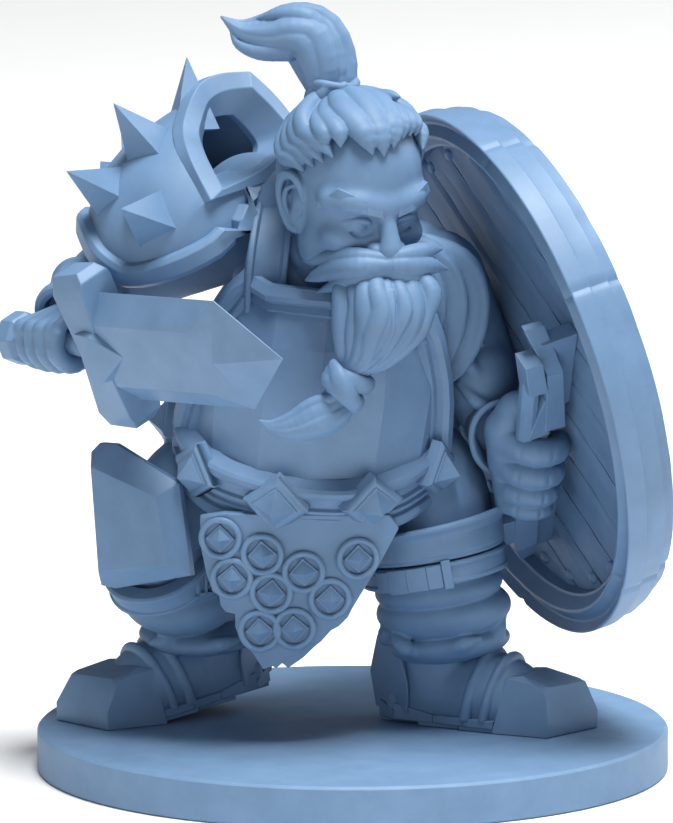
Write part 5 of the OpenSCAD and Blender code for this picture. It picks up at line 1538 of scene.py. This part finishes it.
SHIELD_R = 10.8
SHIELD = Pose(vec(5.75, 0.5, 15.7), SHIELD_WAY, BAR_WAY)
RIM_IN = SHIELD_R - 1.5
SEAMS = (-2.72, -1.42, -0.35, 0.62, 1.75, 2.85)


def seam_dip(a, width=0.012):
    return sum(math.exp(-((a - s + math.pi) % (2 * math.pi) - math.pi) ** 2 / (2 * width ** 2)) for s in SEAMS)


def make_shield_rim():
    """The iron tyre in bent lengths: a grooved back edge, three steps outside, butt joints, a worn front lip."""
    R, inn = SHIELD_R, RIM_IN
    profile = [(inn, 1.02), (inn, 0.55), (inn + 0.12, 0.5), (R - 0.98, 0.02), (R - 0.86, 0.0), (R - 0.5, 0.3),
               (R - 0.38, 0.3), (R - 0.06, 0.0), (R, 0.06), (R, 0.86), (R - 0.14, 0.92), (R - 0.16, 1.0),
               (R - 0.16, 1.72), (R - 0.42, 1.8), (R - 0.46, 1.9), (R - 0.5, 2.28), (R - 0.62, 2.34), (inn, 2.3)]
    wear = np.random.default_rng(3).uniform(-1, 1, 40)

    def worn(a, r, z):
        dip = seam_dip(a)
        if r > R - 0.7 and z > 0.7:
            k = (a % (2 * math.pi)) / (2 * math.pi) * 40
            w = np.interp(k, range(41), list(wear) + [wear[0]])
            r = r - 0.05 * abs(w) * (z > 1.6) - 0.02 * w
        return r - 0.09 * dip * (r > R - 0.7), z + 0.05 * dip * (z < 0.4) * (r > R - 0.9)
    stops = np.sort(np.concatenate([np.linspace(0, 2 * math.pi, 200, endpoint=False),
                                    *[np.array((-0.03, -0.015, 0.0, 0.015, 0.03)) + s % (2 * math.pi) for s in SEAMS]]))
    rings = [[SHIELD(r2 * math.cos(a), r2 * math.sin(a), z2) for r2, z2 in (worn(a, r, z) for r, z in profile)]
             for a in stops]
    return swept("shield_rim_cast", rings, closed=True, bevel=0.03, angle=24)


def make_boards():
    """Nine riven boards edge to edge across the handle, with open joints and coarse grain."""
    rng = np.random.default_rng(11)
    count = 9
    pitch = 2 * RIM_IN / count
    objects = []
    for k in range(count):
        x0, x1 = -RIM_IN + k * pitch + 0.045, -RIM_IN + (k + 1) * pitch - 0.045
        bm = bmesh.new()
        cols, rows = 10, 60
        lines = rng.uniform(0, 1, cols + 1)
        grid = {}
        for i in range(cols + 1):
            x = x0 + (x1 - x0) * i / cols
            span = math.sqrt(max((RIM_IN + 0.1) ** 2 - x * x, 0.04))
            for j in range(rows + 1):
                y = -span + 2 * span * j / rows
                edge = min(i, cols - i) == 0
                deep = 0.05 * abs(math.sin(7 * lines[i] + 0.35 * y)) * (lines[i] > 0.45) + 0.012 * math.sin(3 * y + 9 * lines[i])
                z = 1.0 + (0.07 if edge else 0.0) + deep
                grid[i, j] = (bm.verts.new(Vector(SHIELD(x, y, z)) * MM), bm.verts.new(Vector(SHIELD(x, y, 1.7)) * MM))
        for i in range(cols):
            for j in range(rows):
                q = [grid[i, j], grid[i, j + 1], grid[i + 1, j + 1], grid[i + 1, j]]
                bm.faces.new([v[0] for v in q])
                bm.faces.new([v[1] for v in q[::-1]])
        for i in range(cols):
            for j in (0, rows):
                bm.faces.new((grid[i, j][0], grid[i, j][1], grid[i + 1, j][1], grid[i + 1, j][0]))
        for j in range(rows):
            for i in (0, cols):
                bm.faces.new((grid[i, j][0], grid[i, j + 1][0], grid[i, j + 1][1], grid[i, j][1]))
        bmesh.ops.remove_doubles(bm, verts=bm.verts, dist=1e-7)
        bmesh.ops.recalc_face_normals(bm, faces=bm.faces)
        mesh = bpy.data.meshes.new("board")
        bm.to_mesh(mesh)
        bm.free()
        o = bpy.data.objects.new("board", mesh)
        bpy.context.scene.collection.objects.link(o)
        objects.append(o)
    o = joined("boards_cast", objects)
    o.data.set_sharp_from_angle(angle=math.radians(40))
    return o


def make_shield_face():
    """The shield's front: a shallow dished plate with a stepped ring and a round boss."""
    profile = [(0.0, 1.7), (RIM_IN, 1.7), (RIM_IN, 2.2), (RIM_IN - 0.3, 2.3), (7.9, 2.42), (7.75, 2.55), (7.3, 2.57),
               (7.15, 2.45), (4.0, 2.62), (3.75, 2.75), (3.3, 2.8), (2.9, 2.85), (2.2, 2.9), (1.1, 2.92), (0.0, 2.93)]
    return lathed("shield_face_cast", SHIELD, profile, count=144, bevel=0.04)


def make_rivets():
    """Low domed rivets round the inside of the tyre, hammered a little long."""
    places = []
    for k in range(24):
        a = 2 * math.pi * (k + 0.5) / 24
        foot = SHIELD((RIM_IN - 0.45) * math.cos(a), (RIM_IN - 0.45) * math.sin(a), 1.03)
        round_way = SHIELD.way(-math.sin(a), math.cos(a), 0)
        places.append((Pose(foot, -SHIELD_WAY, round_way), 1.0))

    def dome(tree, group_in):
        head = node(tree, "GeometryNodeMeshUVSphere", {"Segments": 14, "Rings": 8},
                    Radius=group_in.outputs["Rivet radius"])
        flat = node(tree, "ShaderNodeCombineXYZ", {"X": 1.25, "Y": 1.0, "Z": 0.65})
        return node(tree, "GeometryNodeTransform", Geometry=head.outputs["Mesh"],
                    Scale=flat.outputs["Vector"]).outputs["Geometry"]
    return set_along("rivets_cast", places, dome, {"Rivet radius": 0.25})


def make_handle():
    """An iron bar between two stepped brackets, each cut back in a slope and let into the boards."""
    pose = Pose(FIST, SHIELD_WAY, BAR_WAY)
    drop = (SHIELD.o - FIST) @ SHIELD_WAY + 1.02

    def wedge(*corners, near=-0.5, far=0.5):
        return [pose(x, y, z) for x, z in corners for y in (near, far)]

    n = 10
    solids = [[pose(x, 0.42 * math.cos(2 * math.pi * k / n), z + 0.42 * math.sin(2 * math.pi * k / n))
               for x, z in ((-4.6, -0.65), (4.8, -0.35)) for k in range(n)]]
    # upper bracket: shank, sloped head, side block, tongue into the fist, foot
    solids.append(wedge((-1.5, 0.05), (-1.4, 0.95), (-5.1, -0.2), (-5.0, 0.55)))
    solids.append(wedge((-5.1, -0.2), (-5.0, 0.55), near=-0.5, far=0.7) + wedge((-7.15, -0.9), (-7.05, 0.0), near=0.45,
                                                            far=0.75))
    solids.append(wedge((-6.1, -1.3), (-6.0, -0.5), (-4.2, -0.95), (-4.1, -0.1), near=-0.6, far=0.35))
    solids.append(wedge((-3.5, -0.1), (-1.2, -0.7), (-1.2, 0.3), near=-0.45, far=0.45))
    solids.append(wedge((-6.4, -0.3), (-2.2, 0.3), (-6.4, drop), (-2.2, drop), near=0.0, far=0.65))
    # lower bracket, the same the other way up
    solids.append(wedge((2.9, -0.9), (2.9, 0.2), (5.6, -0.7), (5.6, 0.3)))
    solids.append(wedge((5.6, -0.7), (5.6, 0.3), near=-0.5, far=0.5) + wedge((6.9, -0.1), (6.7, 0.6), near=-0.1,
                                                            far=0.5))
    solids.append(wedge((3.6, -1.4), (3.7, -0.6), (5.0, -1.2), (5.1, -0.5), near=-0.45, far=0.4))
    solids.append(wedge((2.6, 0.1), (6.4, 0.1), (2.6, drop), (6.4, drop), near=0.0, far=0.6))
    return faceted("handle_cast", solids, bevel=0.05)


# ---------- which maker makes which piece ----------

PIECES = {
    "head": sculpt_head, "eyebrows": sculpt_brows, "moustache": sculpt_moustache, "hair_cap": sculpt_hair,
    "ponytail": sculpt_ponytail, "topknot_band": sculpt_topknot, "beard": sculpt_beard,
    "beard_tie": sculpt_beard_tie, "beard_tail": sculpt_beard_tail,
    "belt": make_belt, "belt_stud_plates": make_stud_plates, "belt_gems": make_stud_gems,
    "apron": make_apron, "apron_rings": make_apron_rings, "apron_gems": make_apron_gems,
    "breastplate": make_breastplate, "breastplate_trim": make_breast_band, "back_plate": make_back_plate,
    "shoulder_strap": make_shoulder_strap,
    "pauldron_shell": make_cap, "pauldron_rim": make_cap_rim, "pauldron_crest": make_crest,
    "pauldron_spikes": make_spikes, "right_knee_guard": make_knee_guard,
    "sword_blade": make_blade, "sword_guard": make_guard, "sword_grip": make_grip, "sword_pommel": make_pommel,
    "right_hand": sculpt_right_hand, "left_hand": sculpt_left_hand, "right_bracer": make_bracer,
    "left_cuff": make_cuff, "shield_rim": make_shield_rim, "shield_boards": make_boards,
    "shield_boss": make_shield_face, "shield_rivets": make_rivets, "shield_handle": make_handle,
    "base_disc": make_base, "torso": sculpt_torso, "collar": sculpt_collar, "left_mantle": sculpt_mantle,
    "right_arm": sculpt_right_arm, "left_arm": sculpt_left_arm,
    "left_trouser_leg": sculpt_left_trousers, "right_trouser_leg": sculpt_right_trousers,
    "trouser_seat": sculpt_seat, "left_knee_band": make_knee_band, "left_knee_belt": make_knee_belt,
    "right_knee_strap": make_right_knee_strap,
    "left_boot": lambda: sculpt_boot("left_boot_cast", LEFT_FOOT, "left_boot"),
    "right_boot": lambda: sculpt_boot("right_boot_cast", RIGHT_FOOT, "right_boot"),
    "left_toe_cap": lambda: make_toe_cap("left_toe_cap_cast", LEFT_FOOT, -1),
    "right_toe_cap": lambda: make_toe_cap("right_toe_cap_cast", RIGHT_TOES, 1),
    "left_heel_guard": lambda: make_heel_guard("left_heel_cast", LEFT_FOOT),
    "right_heel_guard": lambda: make_heel_guard("right_heel_cast", RIGHT_FOOT),
    "left_sole": lambda: make_sole("left_sole_cast", LEFT_FOOT),
    "right_sole": lambda: make_sole("right_sole_cast", RIGHT_FOOT),
}


# ---------- finishes ----------

def primed_resin(name, low, high, rough=(0.5, 0.62), grit=0.05, relief=0.010):
    """Cast resin under one sprayed coat of primer: matt, with the fine tooth that dry spray leaves, and a
    slight change of shade where the coat lies thicker."""
    m = bpy.data.materials.new(name)
    m.use_nodes = True
    t = m.node_tree
    shader = t.nodes["Principled BSDF"]
    shader.inputs["IOR"].default_value = 1.5
    shader.inputs["Specular IOR Level"].default_value = 0.42
    place = node(t, "ShaderNodeTexCoord").outputs["Object"]
    cloud = node(t, "ShaderNodeTexNoise", {"Scale": 1 / (1.6 * MM), "Detail": 4.0, "Roughness": 0.6}, Vector=place)
    tone = node(t, "ShaderNodeValToRGB", {}, Fac=cloud.outputs["Fac"])
    tone.color_ramp.elements[0].position, tone.color_ramp.elements[1].position = 0.2, 0.8
    tone.color_ramp.elements[0].color, tone.color_ramp.elements[1].color = hex_colour(low), hex_colour(high)
    t.links.new(tone.outputs["Color"], shader.inputs["Base Color"])
    tooth = node(t, "ShaderNodeTexNoise", {"Scale": 1 / (grit * MM), "Detail": 3.0, "Roughness": 0.55}, Vector=place)
    sheen = node(t, "ShaderNodeMapRange", {3: rough[0], 4: rough[1]}, Value=tooth.outputs["Fac"])
    t.links.new(sheen.outputs["Result"], shader.inputs["Roughness"])
    height = tooth.outputs["Fac"]
    bump = node(t, "ShaderNodeBump", {"Strength": 0.35, "Distance": relief * MM}, Height=height)
    t.links.new(bump.outputs["Normal"], shader.inputs["Normal"])
    return m


BLUE_LOW, BLUE_HIGH = "#5B7A9B", "#6A8AAD"
coats = {
    # the base's coat is a shade lighter than the figure's: painted light standing for the brighter lit top of the base,
    # which is cast in the same one colour
    "base": primed_resin("primed_resin_base_painted_light", "#6484A5", "#7393B5", relief=0.014, grit=0.07),
    "skin": primed_resin("primed_resin_skin", BLUE_LOW, BLUE_HIGH, rough=(0.46, 0.58)),
    "hair": primed_resin("primed_resin_hair", BLUE_LOW, BLUE_HIGH, rough=(0.5, 0.62)),
    "cloth": primed_resin("primed_resin_cloth", "#587798", "#6788AA", rough=(0.56, 0.68), relief=0.014),
    "leather": primed_resin("primed_resin_leather", BLUE_LOW, BLUE_HIGH, rough=(0.48, 0.6), relief=0.012),
    "armour": primed_resin("primed_resin_armour", "#5F7E9F", "#6D8DB0", rough=(0.42, 0.54), relief=0.008),
    "wood": primed_resin("primed_resin_wood", "#587798", "#6989AC", rough=(0.55, 0.66)),
}


# ---------- the figure put together ----------

for entry in frame["record"]["subparts"]:
    name, slot_name = entry["node"], entry["material_slot"]
    finish_piece(PIECES[name](), coats[slot_name], slot_name, name)


# ---------- floor, light and camera ----------

def floor_finish():
    """Matt white paper sweep."""
    m = bpy.data.materials.new("matt_paper_sweep")
    m.use_nodes = True
    t = m.node_tree
    shader = t.nodes["Principled BSDF"]
    shader.inputs["Roughness"].default_value = 0.9
    shader.inputs["Specular IOR Level"].default_value = 0.1
    place = node(t, "ShaderNodeTexCoord").outputs["Object"]
    fibre = node(t, "ShaderNodeTexNoise", {"Scale": 1 / (3.0 * MM), "Detail": 2.0}, Vector=place)
    tone = node(t, "ShaderNodeValToRGB", {}, Fac=fibre.outputs["Fac"])
    tone.color_ramp.elements[0].color, tone.color_ramp.elements[1].color = hex_colour("#F1F2F3"), hex_colour("#F5F5F5")
    t.links.new(tone.outputs["Color"], shader.inputs["Base Color"])
    return m


floor = mesh_piece("floor", [(-1.2, -1.2, 0), (1.2, -1.2, 0), (1.2, 1.2, 0), (-1.2, 1.2, 0)], [(0, 1, 2, 3)])
floor.data.materials.append(floor_finish())

world = bpy.data.worlds.new("studio")
world.use_nodes = True
world.node_tree.nodes["Background"].inputs["Color"].default_value = hex_colour("#FFFFFF")
world.node_tree.nodes["Background"].inputs["Strength"].default_value = 0.17
bpy.context.scene.world = world
bpy.context.scene.view_settings.view_transform = "Standard"


def softbox(name, place, size, watts):
    """A square soft light in metres, aimed at the figure's chest."""
    data = bpy.data.lights.new(name, "AREA")
    data.shape, data.size, data.energy = "SQUARE", size, watts
    lamp = bpy.data.objects.new(name, data)
    lamp.location = place
    aim = Vector((0, 0, 0.015)) - Vector(place)
    lamp.rotation_euler = aim.to_track_quat("-Z", "Y").to_euler()
    bpy.context.scene.collection.objects.link(lamp)


softbox("key_above", (0.04, -0.06, 0.32), 0.13, 1.7)
softbox("front_fill", (-0.08, -0.40, 0.14), 0.30, 0.2)
softbox("back_right_rim", (0.22, 0.16, 0.20), 0.14, 0.35)

view_angle = math.radians(10)
CAMERA_AWAY, FRAME_TALL, SENSOR = 0.6, 0.0325, 36    # metres, metres, mm
target = Vector((-0.644, 0, 14.31)) * MM
camera_data = bpy.data.cameras.new("camera")
camera = bpy.data.objects.new("camera", camera_data)
camera.location = target + Vector((0, -math.cos(view_angle), math.sin(view_angle))) * CAMERA_AWAY
camera.rotation_euler = (math.pi / 2 - view_angle, 0, 0)
camera_data.sensor_fit, camera_data.sensor_height = "VERTICAL", SENSOR
camera_data.lens = SENSOR * CAMERA_AWAY / FRAME_TALL
camera_data.clip_start, camera_data.clip_end = 0.01, 10
bpy.context.scene.collection.objects.link(camera)
bpy.context.scene.camera = camera

bpy.context.view_layer.update()
